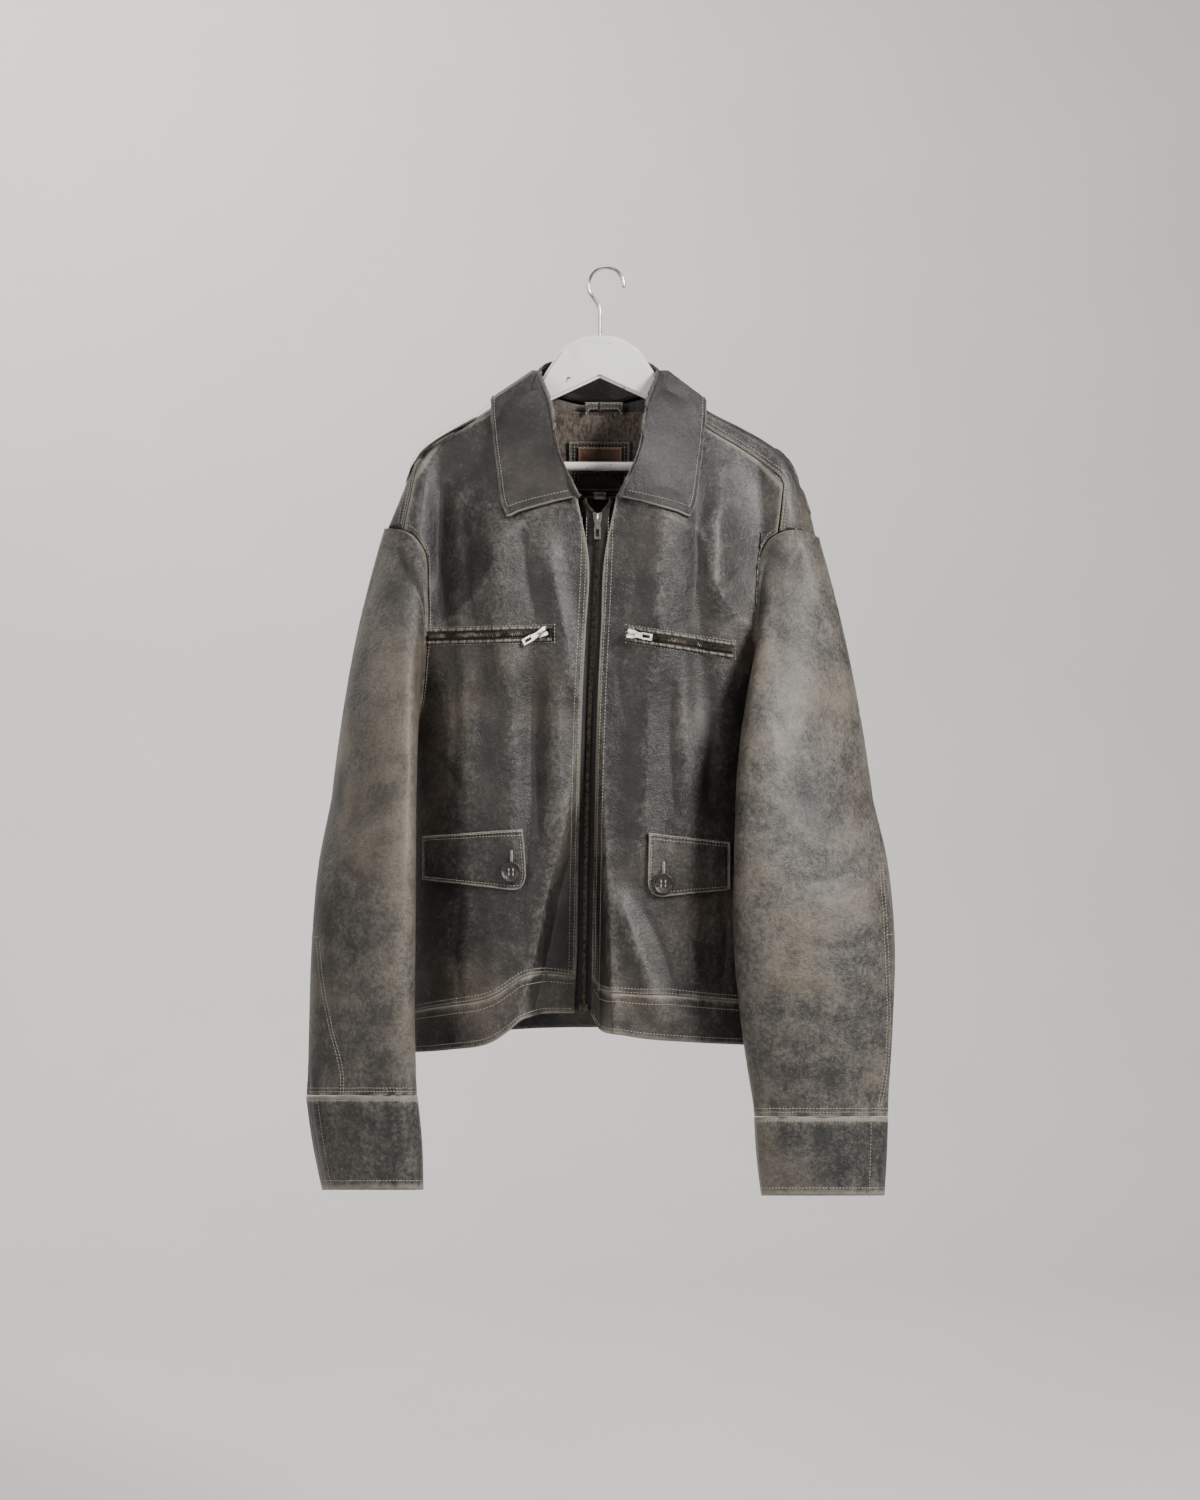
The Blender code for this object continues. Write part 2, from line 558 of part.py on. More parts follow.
def row_at(table, z):
    return [z] + [float(value_at([(row[0], row[k]) for row in table[::-1]], z)) for k in range(1, 6)]


ARMHOLE_GAP = 0.0040
SLEEVE_CLEARANCE = 0.0052
RING_COUNT = 28
CAP_ROWS = 9
CAP_END = -0.555


def before_front(points):
    """Sleeve points kept in front of the body's front."""
    view = seen(points)
    view[:, 1] = np.minimum(view[:, 1], front_y(view[:, 0], view[:, 2]) - SLEEVE_CLEARANCE)
    return placed(view)


def sleeve_rings(side, table):
    """Rings from the armhole to the cuff seam: each point of the cap leaves the armhole and joins the sleeve."""
    start = loop_points(side, RING_COUNT)
    out = -1.0 if side == "right" else 1.0
    rings = [start + np.array([out * ARMHOLE_GAP, 0.0, -0.0006])]
    for t in np.linspace(0, 1, CAP_ROWS)[1:]:
        share = 1 - (1 - t) ** 1.45
        ring = np.empty_like(start)
        for k in range(RING_COUNT):
            height = start[k, 2] + (CAP_END - start[k, 2]) * t
            goal = ring_at(row_at(table, height), RING_COUNT, side)[k]
            ring[k] = start[k] + (goal - start[k]) * share
            ring[k, 2] = start[k, 2] + (goal[2] - start[k, 2]) * t
        ring[:, 0] += out * ARMHOLE_GAP * (1 - t) ** 2
        ring[1:RING_COUNT // 2] = before_front(ring[1:RING_COUNT // 2])
        rings.append(ring)
    for height in np.linspace(CAP_END, table[-1][0], 9)[1:]:
        rings.append(ring_at(row_at(table, height), RING_COUNT, side))
    return np.array(rings)


def sleeve(side, table, cuff_table, upper_look, under_look, cuff_look):
    """Upper and under sleeve with the cuff ring below them."""
    rings = sleeve_rings(side, table)
    rows = len(rings)
    first = RING_COUNT // 2
    last = first + UNDER_COLUMNS
    flip = side == "right"
    under_columns = list(range(first, last + 1))
    upper_columns = list(range(last, RING_COUNT + first + 1))
    for name, columns, look, inner_edge in (
        ("upper_sleeve", upper_columns, upper_look, -1),
        ("under_sleeve", under_columns, under_look, 0),
    ):
        picked = rings[:, [c % RING_COUNT for c in columns]].copy()
        for edge, nearby in ((0, 1), (-1, -2)):
            step = picked[:, nearby] - picked[:, edge]
            gap = UNDERARM_SEAM if edge == inner_edge else SLEEVE_SEAM
            picked[:, edge] += step / np.linalg.norm(step, axis=1)[:, None] * gap
        made = add_object(side + "_" + name, picked.reshape(-1, 3), grid_faces(rows, len(columns), flip), look)
        solidify(made, LEATHER)
    heights = np.linspace(cuff_table[0][0], cuff_table[-1][0], 4)
    cuff_rings = np.array([ring_at(row_at(cuff_table, z), RING_COUNT, side) for z in heights])
    cuff_faces = grid_faces(4, RING_COUNT, flip, ring=True)
    made = add_object(side + "_cuff", cuff_rings.reshape(-1, 3), cuff_faces, cuff_look)
    solidify(made, BAND_LEATHER)


def box_between(name, size, look, bevel=0.0):
    """A box with its own frame at its middle."""
    bm = bmesh.new()
    bmesh.ops.create_cube(bm, size=1.0, matrix=Matrix.Diagonal((*size, 1.0)))
    if bevel:
        bmesh.ops.bevel(bm, geom=bm.edges[:], offset=bevel, segments=2, affect="EDGES")
    mesh = bpy.data.meshes.new(name)
    bm.to_mesh(mesh)
    bm.free()
    if look:
        mesh.materials.append(look)
    made = bpy.data.objects.new(name, mesh)
    bpy.context.collection.objects.link(made)
    return made


def hanger_wood(look):
    """Flat wooden body with rounded edges, and the two holes that the bar sits in."""
    half = [*WOOD_TOP, *WOOD_BOTTOM]
    outline = [(HANGER_X + x, z) for x, z in half]
    outline += [(HANGER_X - x, z) for x, z in half[-2:0:-1]]
    bm = bmesh.new()
    verts = [bm.verts.new((x, -WOOD_THICK / 2, z)) for x, z in outline]
    face = bm.faces.new(verts)
    moved = bmesh.ops.extrude_face_region(bm, geom=[face])["geom"]
    bmesh.ops.translate(bm, vec=(0, WOOD_THICK, 0), verts=[v for v in moved if isinstance(v, bmesh.types.BMVert)])
    bmesh.ops.recalc_face_normals(bm, faces=bm.faces[:])
    mesh = bpy.data.meshes.new("hanger_wood")
    bm.to_mesh(mesh)
    bm.free()
    mesh.materials.append(look)
    mesh.shade_smooth()
    made = bpy.data.objects.new("hanger_wood", mesh)
    bpy.context.collection.objects.link(made)
    rounding = made.modifiers.new("rounded edges", "BEVEL")
    rounding.width = 0.003
    rounding.segments = 2
    rounding.limit_method = "ANGLE"
    rounding.angle_limit = math.radians(60)
    for name, place, radius, length, turn in (
        ("bar_hole", (HANGER_X, 0, BAR_Z), BAR_DIAMETER / 2 + SEAM_GAP, 2 * BAR_HALF + 0.0006, "Y"),
        ("shank_hole", (HANGER_X, 0, -0.078), HOOK_WIRE / 2 + SEAM_GAP, 0.024, "Z"),
    ):
        cutter = cylinder(name, radius, length, turn, None)
        cutter.location = place
        cutter.hide_render = True
        cutter.display_type = "WIRE"
        cut = made.modifiers.new(name, "BOOLEAN")
        cut.object = cutter


def cylinder(name, radius, length, axis, look, sides=16):
    bm = bmesh.new()
    turn = Matrix.Rotation(math.pi / 2, 4, axis) if axis != "Z" else Matrix.Identity(4)
    bmesh.ops.create_cone(bm, cap_ends=True, segments=sides, radius1=radius, radius2=radius, depth=length,
                          matrix=turn)
    mesh = bpy.data.meshes.new(name)
    bm.to_mesh(mesh)
    bm.free()
    if look:
        mesh.materials.append(look)
    made = bpy.data.objects.new(name, mesh)
    bpy.context.collection.objects.link(made)
    return made


def tube(name, points, diameter, look, sides=8):
    """A round wire through the given points, with flat ends."""
    points = np.asarray(points, float)
    tangents = np.gradient(points, axis=0)
    tangents = tangents / np.linalg.norm(tangents, axis=1)[:, None]
    normal = np.cross(tangents[0], (0.0, 1.0, 0.0))
    normal = normal / np.linalg.norm(normal)
    verts = []
    for point, tangent in zip(points, tangents):
        normal = normal - tangent * np.dot(normal, tangent)
        normal = normal / np.linalg.norm(normal)
        side = np.cross(tangent, normal)
        for k in range(sides):
            angle = 2 * math.pi * k / sides
            verts.append(point + diameter / 2 * (math.cos(angle) * normal + math.sin(angle) * side))
    faces = grid_faces(len(points), sides, ring=True)
    faces.append(tuple(range(sides))[::-1])
    faces.append(tuple((len(points) - 1) * sides + k for k in range(sides)))
    return add_object(name, verts, faces, look)


def hanger_hook(look):
    """Open wire loop over the origin, its tip on the left of the jacket, and the shank down into the wood."""
    centre_z = HOOK_WIRE / 2 - HOOK_LOOP_RADIUS
    angles = np.radians(np.linspace(-8, 222, 19))
    loop = [(HOOK_LOOP_RADIUS * math.cos(a), 0.0, centre_z + HOOK_LOOP_RADIUS * math.sin(a)) for a in angles]
    neck = [(-0.0098, 0.0, -0.0350), (-0.0073, 0.0, -0.0395), (HANGER_X, 0.0, -0.0450)]
    shank = [(HANGER_X, 0.0, z) for z in (-0.052, -0.062, -0.072, -0.0885)]
    tube("hanger_hook", [*loop, *neck, *shank], HOOK_WIRE, look)


def surface_frame(x, z, depth):
    """Point in space on a surface at (x, z) of the front view, with its across, up and outward directions."""
    corners = ((x, z), (x + NORMAL_STEP, z), (x, z + NORMAL_STEP))
    here, right, over = (placed(with_depth(np.array(p), depth)) for p in corners)
    across = (right - here) / np.linalg.norm(right - here)
    over = over - here
    out = np.cross(across, over)
    out = out / np.linalg.norm(out)
    return here, across, np.cross(out, across), out


def lifted(flat, depth, lift):
    """Points in space over a front-view grid, moved out along the surface's normal."""
    here = placed(with_depth(flat, depth))
    steps = []
    for step in (np.array([NORMAL_STEP, 0.0]), np.array([0.0, NORMAL_STEP])):
        steps.append(placed(with_depth(flat + step, depth)) - placed(with_depth(flat - step, depth)))
    out = np.cross(*steps)
    out = out / np.linalg.norm(out, axis=-1)[..., None]
    return here + out * lift


def quad_grid(corners, columns, rows):
    """Grid inside four corners: both ends of the upper edge, then of the lower one from its far end."""
    a, b, c, d = (np.array(p, float) for p in corners)
    u = np.linspace(0, 1, columns)[None, :, None]
    v = np.linspace(0, 1, rows)[:, None, None]
    return (1 - v) * ((1 - u) * a + u * b) + v * ((1 - u) * d + u * c)


def laid_piece(name, flat, depth, lift, thickness, look):
    """A doubled piece of cloth that lies on a panel, made from the panel's points moved out."""
    points = lifted(flat, depth, lift + thickness)
    rows, columns = flat.shape[:2]
    made = add_object(name, points.reshape(-1, 3), grid_faces(rows, columns, flip=True), look)
    solidify(made, thickness)
    return made


def strip_grid(line, half_width, columns, rows=2):
    """Grid along a straight front-view line, half_width to each side of it."""
    a, b = np.array(line[0]), np.array(line[1])
    direction = (b - a) / np.linalg.norm(b - a)
    side = np.array([-direction[1], direction[0]])
    if side[1] < 0:
        side = -side
    return quad_grid((a + side * half_width, b + side * half_width, b - side * half_width, a - side * half_width),
                     columns, rows)


def framed(made, here, across, up, out):
    """Puts an object with X across, Y inward and Z up at a point of a surface."""
    turn = Matrix((across, -out, up)).transposed()
    made.matrix_world = Matrix.Translation(Vector(here)) @ turn.to_4x4()


def pull_tab(name, size, look):
    """Flat tab hanging from its joint's axis along X, with an eye for the pin and a slot near its end."""
    width, thick, length = size
    bm = bmesh.new()
    neck = width * 0.32
    waist = -length * 0.45
    outline = [(-neck, PULL_EYE), (neck, PULL_EYE), (width / 2, waist), (width / 2, -length), (-width / 2, -length),
               (-width / 2, waist)]
    verts = [bm.verts.new((x, -thick / 2, z)) for x, z in outline]
    face = bm.faces.new(verts)
    moved = bmesh.ops.extrude_face_region(bm, geom=[face])["geom"]
    bmesh.ops.translate(bm, vec=(0, thick, 0), verts=[v for v in moved if isinstance(v, bmesh.types.BMVert)])
    bmesh.ops.recalc_face_normals(bm, faces=bm.faces[:])
    mesh = bpy.data.meshes.new(name)
    bm.to_mesh(mesh)
    bm.free()
    mesh.materials.append(look)
    made = bpy.data.objects.new(name, mesh)
    bpy.context.collection.objects.link(made)
    slot = box_between(name + "_slot", (PULL_HOLE[0], thick * 3, PULL_HOLE[1]), None)
    slot.parent = made
    slot.location = (0, 0, -length * 0.66)
    slot.hide_render = True
    slot.display_type = "WIRE"
    cut = made.modifiers.new("slot", "BOOLEAN")
    cut.object = slot
    return made


def lathe(name, profile, look, sides=20):
    """A turned solid around Y from (radius, y) points that start and end on the axis."""
    verts = [(0.0, profile[0][1], 0.0)]
    rings = profile[1:-1]
    for radius, y in rings:
        for k in range(sides):
            angle = 2 * math.pi * k / sides
            verts.append((radius * math.cos(angle), y, radius * math.sin(angle)))
    verts.append((0.0, profile[-1][1], 0.0))
    faces = [(0, 1 + k, 1 + (k + 1) % sides) for k in range(sides)]
    for r in range(len(rings) - 1):
        for k in range(sides):
            n = (k + 1) % sides
            low = 1 + r * sides
            faces.append((low + k, low + sides + k, low + sides + n, low + n))
    low = 1 + (len(rings) - 1) * sides
    last = len(verts) - 1
    faces += [(low + k, last, low + (k + 1) % sides) for k in range(sides)]
    return add_object(name, verts, [face[::-1] for face in faces], look)


def collar_sections(points):
    """Stations from the right front end around the back of the neck to the left front end."""
    left = [(2 * EYE_X - x - COLLAR_LEFT_SHIFT, y, z) for x, y, z in points[-2::-1]]
    return [*points, *left]


COLLAR_COLUMNS = 41
LEAF_ROWS = 6


def collar(look):
    """One folded wall: up from the neck seam to the roll line, over it and down to the leaf's edge."""
    share = np.linspace(0.0, 1.0, COLLAR_COLUMNS)
    seam = along(collar_sections(COLLAR_SEAM), share)
    roll = along(collar_sections(COLLAR_ROLL), share)
    edge = along(collar_sections(COLLAR_EDGE), share)
    rows = [seam, seam + (roll - seam) * 0.5]
    away = np.stack([edge[:, 0] - roll[:, 0], edge[:, 1] - roll[:, 1], 0 * share], -1)
    away = away / np.linalg.norm(away, axis=1)[:, None]
    crown = roll + away * 0.0022
    crown[:, 2] += 0.0016
    rows += [roll, crown]
    for t in np.linspace(0.0, 1.0, LEAF_ROWS)[1:]:
        row = crown + (edge - crown) * t
        rows.append(over_shoulder(row + away * (0.006 * math.sin(math.pi * t))))
    for k in range(4):
        lying = rows[k][:, 2] < -0.165
        over_front = front_y(rows[k][:, 0], rows[k][:, 2]) - LEAF_CLEARANCE - 0.0008 * k
        rows[k][lying, 1] = np.minimum(rows[k][lying, 1], over_front[lying])
    points = placed(np.array(rows))
    faces = grid_faces(len(rows), COLLAR_COLUMNS)
    made = add_object("collar", points.reshape(-1, 3), faces, look)
    solidify(made, COLLAR_LEATHER)


def over_shoulder(row):
    """Points of the leaf kept clear of the shoulder: above its ridge, in front of it or behind it."""
    right = np.array(RIDGE_RIGHT[::-1])
    left = np.array(RIDGE_LEFT)
    ridge = np.interp(row[:, 0], np.concatenate([right[:, 0], left[:, 0]]),
                      np.concatenate([right[:, 1], left[:, 1]]))
    away = np.abs(row[:, 1])
    row[:, 2] = np.where(away < 0.013, np.maximum(row[:, 2], ridge + 0.0112 - 0.3 * away), row[:, 2])
    below = smooth_step((ridge - row[:, 2]) / 0.004)
    over_front = front_y(row[:, 0], row[:, 2]) - LEAF_CLEARANCE
    over_back = back_y(row[:, 0], row[:, 2]) + LEAF_CLEARANCE
    pushed = np.where(row[:, 1] < 0.0, np.minimum(row[:, 1], over_front), np.maximum(row[:, 1], over_back))
    row[:, 1] = row[:, 1] + (pushed - row[:, 1]) * below
    return row


def rectangle(box, columns, rows):
    x0, x1, z0, z1 = box
    return quad_grid(((x0, z1), (x1, z1), (x1, z0), (x0, z0)), columns, rows)


def neck_inside(facing_look, leather_look, plate_look, label_look, tag_look):
    """Facing, hanger loop and labels, one on another inside the back."""
    def inner(x, z):
        return back_y(x, z) - LEATHER

    facing = rectangle((HANGER_X - FACING_HALF_WIDTH, HANGER_X + FACING_HALF_WIDTH, FACING_BOTTOM_Z,
                        FACING_TOP_Z), 11, 6)
    laid_piece("neck_facing", facing, inner, 0.0030, 0.0012, facing_look)
    laid_piece("label_frame", rectangle(LABEL_FRAME, 7, 5), inner, 0.0054, 0.0014, leather_look)
    laid_piece("label_plate", rectangle(LABEL_PLATE, 5, 3), inner, 0.0074, 0.0012, plate_look)
    laid_piece("sewn_label", rectangle(SEWN_LABEL, 5, 3), inner, 0.0078, 0.0008, label_look)
    laid_piece("size_tag", rectangle(SIZE_TAG, 3, 2), inner, 0.0078, 0.0006, tag_look)
    columns = HANGER_X + 0.004 + LOOP_WIDTH * (np.array([0.0, 0.14, 0.5, 0.86, 1.0]) - 0.5)
    heights = np.array([-0.1400, -0.1470, -0.1545])
    flat = np.array([[(x, z) for x in columns] for z in heights])
    points = lifted(flat, inner, 0.0095)
    faces = [f for k, f in enumerate(grid_faces(3, 5, flip=True)) if k not in (5, 6)]
    loop = add_object("hanger_loop", points.reshape(-1, 3), faces, leather_look)
    solidify(loop, 0.0018)


def centre_zip(tape_look, teeth_look, metal_look):
    """Tapes inside the front edges, closed chain, slider and pull tab."""
    rows = 16
    slider_z = ZIP_SPLIT_Z + 0.0070
    for side, sign in (("right", -1), ("left", 1)):
        heights = np.concatenate([np.linspace(ZIP_TOP_Z, slider_z, 4), np.linspace(ZIP_SPLIT_Z, ZIP_BOTTOM_Z, rows)])
        line = value_at(ZIP_LINE, heights)
        apart = 0.0105 * smooth_step((heights - slider_z) / 0.020)
        near = line + sign * (CHAIN_WIDTH / 2 + SEAM_GAP + apart)
        far = line + sign * (ZIP_EDGE + TAPE_HIDDEN)
        far = np.where(sign * (far - near) < 0.004, near + sign * 0.004, far)
        shares = (0.0, 0.35, 0.7, 1.0)
        flat = np.array([[(a + (b - a) * u, z) for u in shares] for a, b, z in zip(near, far, heights)])
        if sign < 0:
            flat = flat[:, ::-1]
        points = lifted(flat, front_y, -(LEATHER + 0.0028))
        tape = add_object(side + "_zip_tape", points.reshape(-1, 3), grid_faces(len(heights), 4, flip=True), tape_look)
        solidify(tape, TAPE_THICK)
    heights = np.linspace(ZIP_SPLIT_Z - 0.0004, ZIP_BOTTOM_Z, 20)
    line = value_at(ZIP_LINE, heights)
    flat = np.array([[(x - CHAIN_WIDTH / 2, z), (x + CHAIN_WIDTH / 2, z)] for x, z in zip(line, heights)])
    points = lifted(flat, front_y, -0.0012)
    chain = add_object("zip_chain", points.reshape(-1, 3), grid_faces(20, 2, flip=True), teeth_look)
    solidify(chain, CHAIN_THICK)
    place = surface_frame(float(value_at(ZIP_LINE, slider_z)), slider_z, front_y)
    slider_and_pull("zip", place, 0.0, metal_look)


def slider_and_pull(prefix, place, tilt, look):
    """Slider with two ears, and the pull tab hinged between them; tilt turns both in the cloth."""
    here, across, up, out = place
    turn = Matrix.Rotation(tilt, 3, Vector(out))
    across = np.array(turn @ Vector(across))
    up = np.array(turn @ Vector(up))
    width, thick, length = SLIDER_SIZE
    body = box_between(prefix + "_slider", SLIDER_SIZE, look, bevel=0.0008)
    framed(body, here + out * (thick / 2 - 0.0012), across, up, out)
    for sign in (-1, 1):
        ear = box_between(prefix + "_ear", (0.0011, 0.0034, 0.0040), None)
        ear.parent = body
        ear.location = (sign * 0.0034, -thick / 2 - 0.0012, -0.0028)
        ear.hide_render = True
        ear.display_type = "WIRE"
        join = body.modifiers.new("ear", "BOOLEAN")
        join.operation = "UNION"
        join.object = ear
    pull = pull_tab(prefix + "_pull", PULL_SIZE, look)
    framed(pull, here + out * (thick - 0.0012 + PULL_SIZE[1] / 2 + 0.0006) - up * 0.0028, across, up, out)


def chest_zip(side, line, slider_at, tilt, tape_look, teeth_look, metal_look):
    """Zip let into the front: tape and chain lie on the panel, with slider and pull."""
    laid_piece(side + "_chest_tape", strip_grid(line, CHEST_ZIP_HEIGHT / 2, 16, 2), front_y, 0.0018, 0.0009,
               tape_look)
    (ax, az), (bx, bz) = line
    t = (slider_at - ax) / (bx - ax)
    z = az + t * (bz - az)
    if side == "right":
        chain = ((ax + 0.004, az), (slider_at - 0.0078, z))
    else:
        chain = ((slider_at + 0.0078, z - 0.0013), (bx - 0.003, bz + 0.0004))
    laid_piece(side + "_chest_chain", strip_grid(chain, CHAIN_WIDTH / 2 * 0.8, 16, 2), front_y, 0.0036, 0.0016,
               teeth_look)
    here, across, up, out = surface_frame(slider_at, z, front_y)
    slider_and_pull(side + "_chest", (here + out * 0.0070, across, up, out), tilt, metal_look)


def flap_and_button(side, corners, button_at, flap_look, button_look):
    flat = quad_grid(corners, 10, 6)
    laid_piece(side + "_pocket_flap", flat, front_y, 0.0019, FLAP_THICK, flap_look)
    radius = BUTTON_DIAMETER / 2
    profile = [(0.0, 0.0), (radius * 0.86, 0.0), (radius, -BUTTON_THICK * 0.4), (radius, -BUTTON_THICK * 0.75),
               (radius * 0.9, -BUTTON_THICK), (radius * 0.74, -BUTTON_THICK * 0.62), (0.0, -BUTTON_THICK * 0.62)]
    button = lathe(side + "_flap_button", profile, button_look)
    here, across, up, out = surface_frame(*button_at, front_y)
    framed(button, here + out * (0.0019 + FLAP_THICK + 0.0008), across, up, out)


def main():
    for old in list(bpy.data.objects):
        bpy.data.objects.remove(old)
    body_leather = material("body leather", (0.052, 0.050, 0.047), 0.52)
    sleeve_leather = material("sleeve leather", (0.135, 0.122, 0.104), 0.55)
    under_leather = material("under sleeve leather", (0.095, 0.086, 0.075), 0.55)
    band_leather = material("band leather", (0.060, 0.056, 0.050), 0.55)
    collar_leather = material("collar leather", (0.040, 0.039, 0.037), 0.50)
    facing_cloth = material("facing suede", (0.090, 0.075, 0.062), 0.80)
    plate_leather = material("label leather", (0.190, 0.095, 0.055), 0.55)
    label_cloth = material("label cloth", (0.060, 0.036, 0.032), 0.80)
    tag_cloth = material("tag cloth", (0.420, 0.400, 0.370), 0.85)
    tape_cloth = material("zip tape", (0.012, 0.012, 0.012), 0.85)
    brass = material("antique brass teeth", (0.150, 0.130, 0.095), 0.38, 1.0)
    nickel = material("nickel", (0.520, 0.500, 0.460), 0.28, 1.0)
    horn = material("button", (0.022, 0.016, 0.017), 0.32)
    paint = material("white paint", (0.800, 0.800, 0.785), 0.42)
    steel = material("steel wire", (0.620, 0.620, 0.610), 0.22, 1.0)

    hanger_wood(paint)
    cylinder("hanger_bar", BAR_DIAMETER / 2, 2 * BAR_HALF, "Y", paint).location = (HANGER_X, 0, BAR_Z)
    hanger_hook(steel)
    front_panel("right", body_leather, band_leather)
    front_panel("left", body_leather, band_leather)
    back_panel(body_leather, band_leather)
    sleeve("right", SLEEVE_RIGHT, CUFF_RIGHT, sleeve_leather, under_leather, band_leather)
    sleeve("left", SLEEVE_LEFT, CUFF_LEFT, sleeve_leather, under_leather, band_leather)
    collar(collar_leather)
    neck_inside(facing_cloth, collar_leather, plate_leather, label_cloth, tag_cloth)
    centre_zip(tape_cloth, brass, nickel)
    chest_zip("right", CHEST_ZIP_RIGHT, -0.0641, -math.radians(62), tape_cloth, brass, nickel)
    chest_zip("left", CHEST_ZIP_LEFT, 0.0305, math.radians(80), tape_cloth, brass, nickel)
    flap_and_button("right", FLAP_RIGHT, BUTTON_RIGHT, band_leather, horn)
    flap_and_button("left", FLAP_LEFT, BUTTON_LEFT, band_leather, horn)


main()
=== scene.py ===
import math

import bmesh
import bpy
import numpy as np
from mathutils import Matrix, Vector


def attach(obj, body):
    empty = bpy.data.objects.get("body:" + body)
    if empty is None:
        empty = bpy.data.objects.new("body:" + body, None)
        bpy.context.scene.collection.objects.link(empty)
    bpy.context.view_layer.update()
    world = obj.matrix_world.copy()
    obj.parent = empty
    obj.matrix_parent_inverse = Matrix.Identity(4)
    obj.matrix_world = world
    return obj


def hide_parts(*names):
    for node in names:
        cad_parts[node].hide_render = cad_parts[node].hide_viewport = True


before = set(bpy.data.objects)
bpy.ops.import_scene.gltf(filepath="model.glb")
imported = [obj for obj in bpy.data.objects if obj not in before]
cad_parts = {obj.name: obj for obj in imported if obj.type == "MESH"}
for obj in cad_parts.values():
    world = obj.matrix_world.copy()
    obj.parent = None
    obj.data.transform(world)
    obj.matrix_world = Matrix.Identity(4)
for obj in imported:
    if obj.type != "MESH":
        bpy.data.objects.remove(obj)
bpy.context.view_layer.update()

print("frame")

# Front view: where the eye stands, and how far from the hanger's plane
eyeX = -0.0063
eyeZ = -0.505
eyeDistance = 2.6
leather = 0.0015
bandGap = 0.0002
normalStep = 0.002
hangerX = -0.0063
woodTop = ((0.0, -0.070), (0.020, -0.0725), (0.040, -0.084), (0.057, -0.1090), (0.066, -0.1235),
           (0.076, -0.1290), (0.122, -0.1600), (0.182, -0.2015), (0.187, -0.2085))
woodBottom = ((0.186, -0.2200), (0.180, -0.2215), (0.120, -0.181), (0.060, -0.142), (0.0, -0.114))
ridgeRight = ((-0.078, -0.117), (-0.128, -0.1505), (-0.1995, -0.1995), (-0.2125, -0.232), (-0.229, -0.272))
ridgeLeft = ((0.0655, -0.117), (0.107, -0.1485), (0.141, -0.166), (0.172, -0.184), (0.190, -0.198),
              (0.204, -0.227), (0.2163, -0.2635), (0.2205, -0.282))
frontSideRight = ((-0.83, -0.214), (-0.56, -0.208), (-0.50, -0.207), (-0.38, -0.215), (-0.272, -0.231),
                    (-0.20, -0.236))
frontSideLeft = ((-0.83, 0.204), (-0.56, 0.1855), (-0.50, 0.184), (-0.38, 0.196), (-0.282, 0.222),
                   (-0.20, 0.226))
backSideRight = ((-0.83, -0.214), (-0.56, -0.208), (-0.50, -0.207), (-0.38, -0.252), (-0.272, -0.262),
                   (-0.20, -0.262))
backSideLeft = ((-0.83, 0.204), (-0.56, 0.1855), (-0.50, 0.184), (-0.38, 0.232), (-0.282, 0.250), (-0.20, 0.250))
underarmZ = -0.50
frontDepth = ((-0.82, 0.098), (-0.70, 0.092), (-0.55, 0.082), (-0.38, 0.074), (-0.25, 0.064), (-0.10, 0.050))
backDepth = ((-0.82, 0.046), (-0.60, 0.046), (-0.40, 0.044), (-0.25, 0.034), (-0.10, 0.024))
zipDepth = ((-0.82, 0.026), (-0.70, 0.033), (-0.55, 0.050), (-0.42, 0.064), (-0.25, 0.060), (-0.10, 0.05))
zipLine = ((-0.80, -0.0240), (-0.4525, -0.0168), (-0.29, -0.0095), (-0.20, -0.0080))
lobeRight = ((-0.82, -0.0985), (-0.79, -0.0915), (-0.7066, -0.0725), (-0.6636, -0.0641), (-0.5722, -0.041),
              (-0.503, -0.0336), (-0.42, -0.030))
lobeLeft = ((-0.82, -0.0010), (-0.7675, -0.0021), (-0.6625, -0.0063), (-0.5575, -0.0105), (-0.42, -0.0110))
stepWidth = 0.015
ridgeHalf = 0.0105
ridgeRound = 0.006
sideShift = 0.0001
chestDrop = 0.12
frontPower = 2.6
backPower = 4.0
frontFolds = (
    (-0.118, -0.24, -0.108, -0.42, 0.024, 0.009),
    (-0.176, -0.22, -0.170, -0.42, 0.014, -0.010),
    (-0.060, -0.29, -0.034, -0.44, 0.014, 0.008),
    (-0.104, -0.40, -0.100, -0.60, 0.018, 0.005),
    (-0.150, -0.44, -0.160, -0.78, 0.022, 0.005),
    (-0.055, -0.40, -0.052, -0.60, 0.014, 0.006),
    (-0.075, -0.44, -0.082, -0.62, 0.012, -0.006),
    (0.062, -0.24, 0.052, -0.42, 0.022, 0.010),
    (0.120, -0.20, 0.116, -0.34, 0.020, 0.006),
    (0.100, -0.26, 0.098, -0.46, 0.014, -0.009),
    (0.045, -0.44, 0.040, -0.62, 0.016, 0.006),
    (0.082, -0.44, 0.088, -0.78, 0.020, 0.005),
    (0.012, -0.66, 0.056, -0.78, 0.016, 0.007),
)
backFolds = (
    (-0.135, -0.26, -0.110, -0.76, 0.030, 0.008),
    (-0.060, -0.30, -0.050, -0.80, 0.026, -0.006),
    (0.010, -0.26, 0.020, -0.80, 0.030, 0.006),
    (0.080, -0.30, 0.070, -0.80, 0.026, -0.006),
    (0.140, -0.26, 0.120, -0.76, 0.030, 0.008),
)
hemRight = ((-0.0330, -0.7812), (-0.075, -0.784), (-0.0914, -0.7906), (-0.1008, -0.7990), (-0.1218, -0.8127),
             (-0.165, -0.8200), (-0.2137, -0.8232))
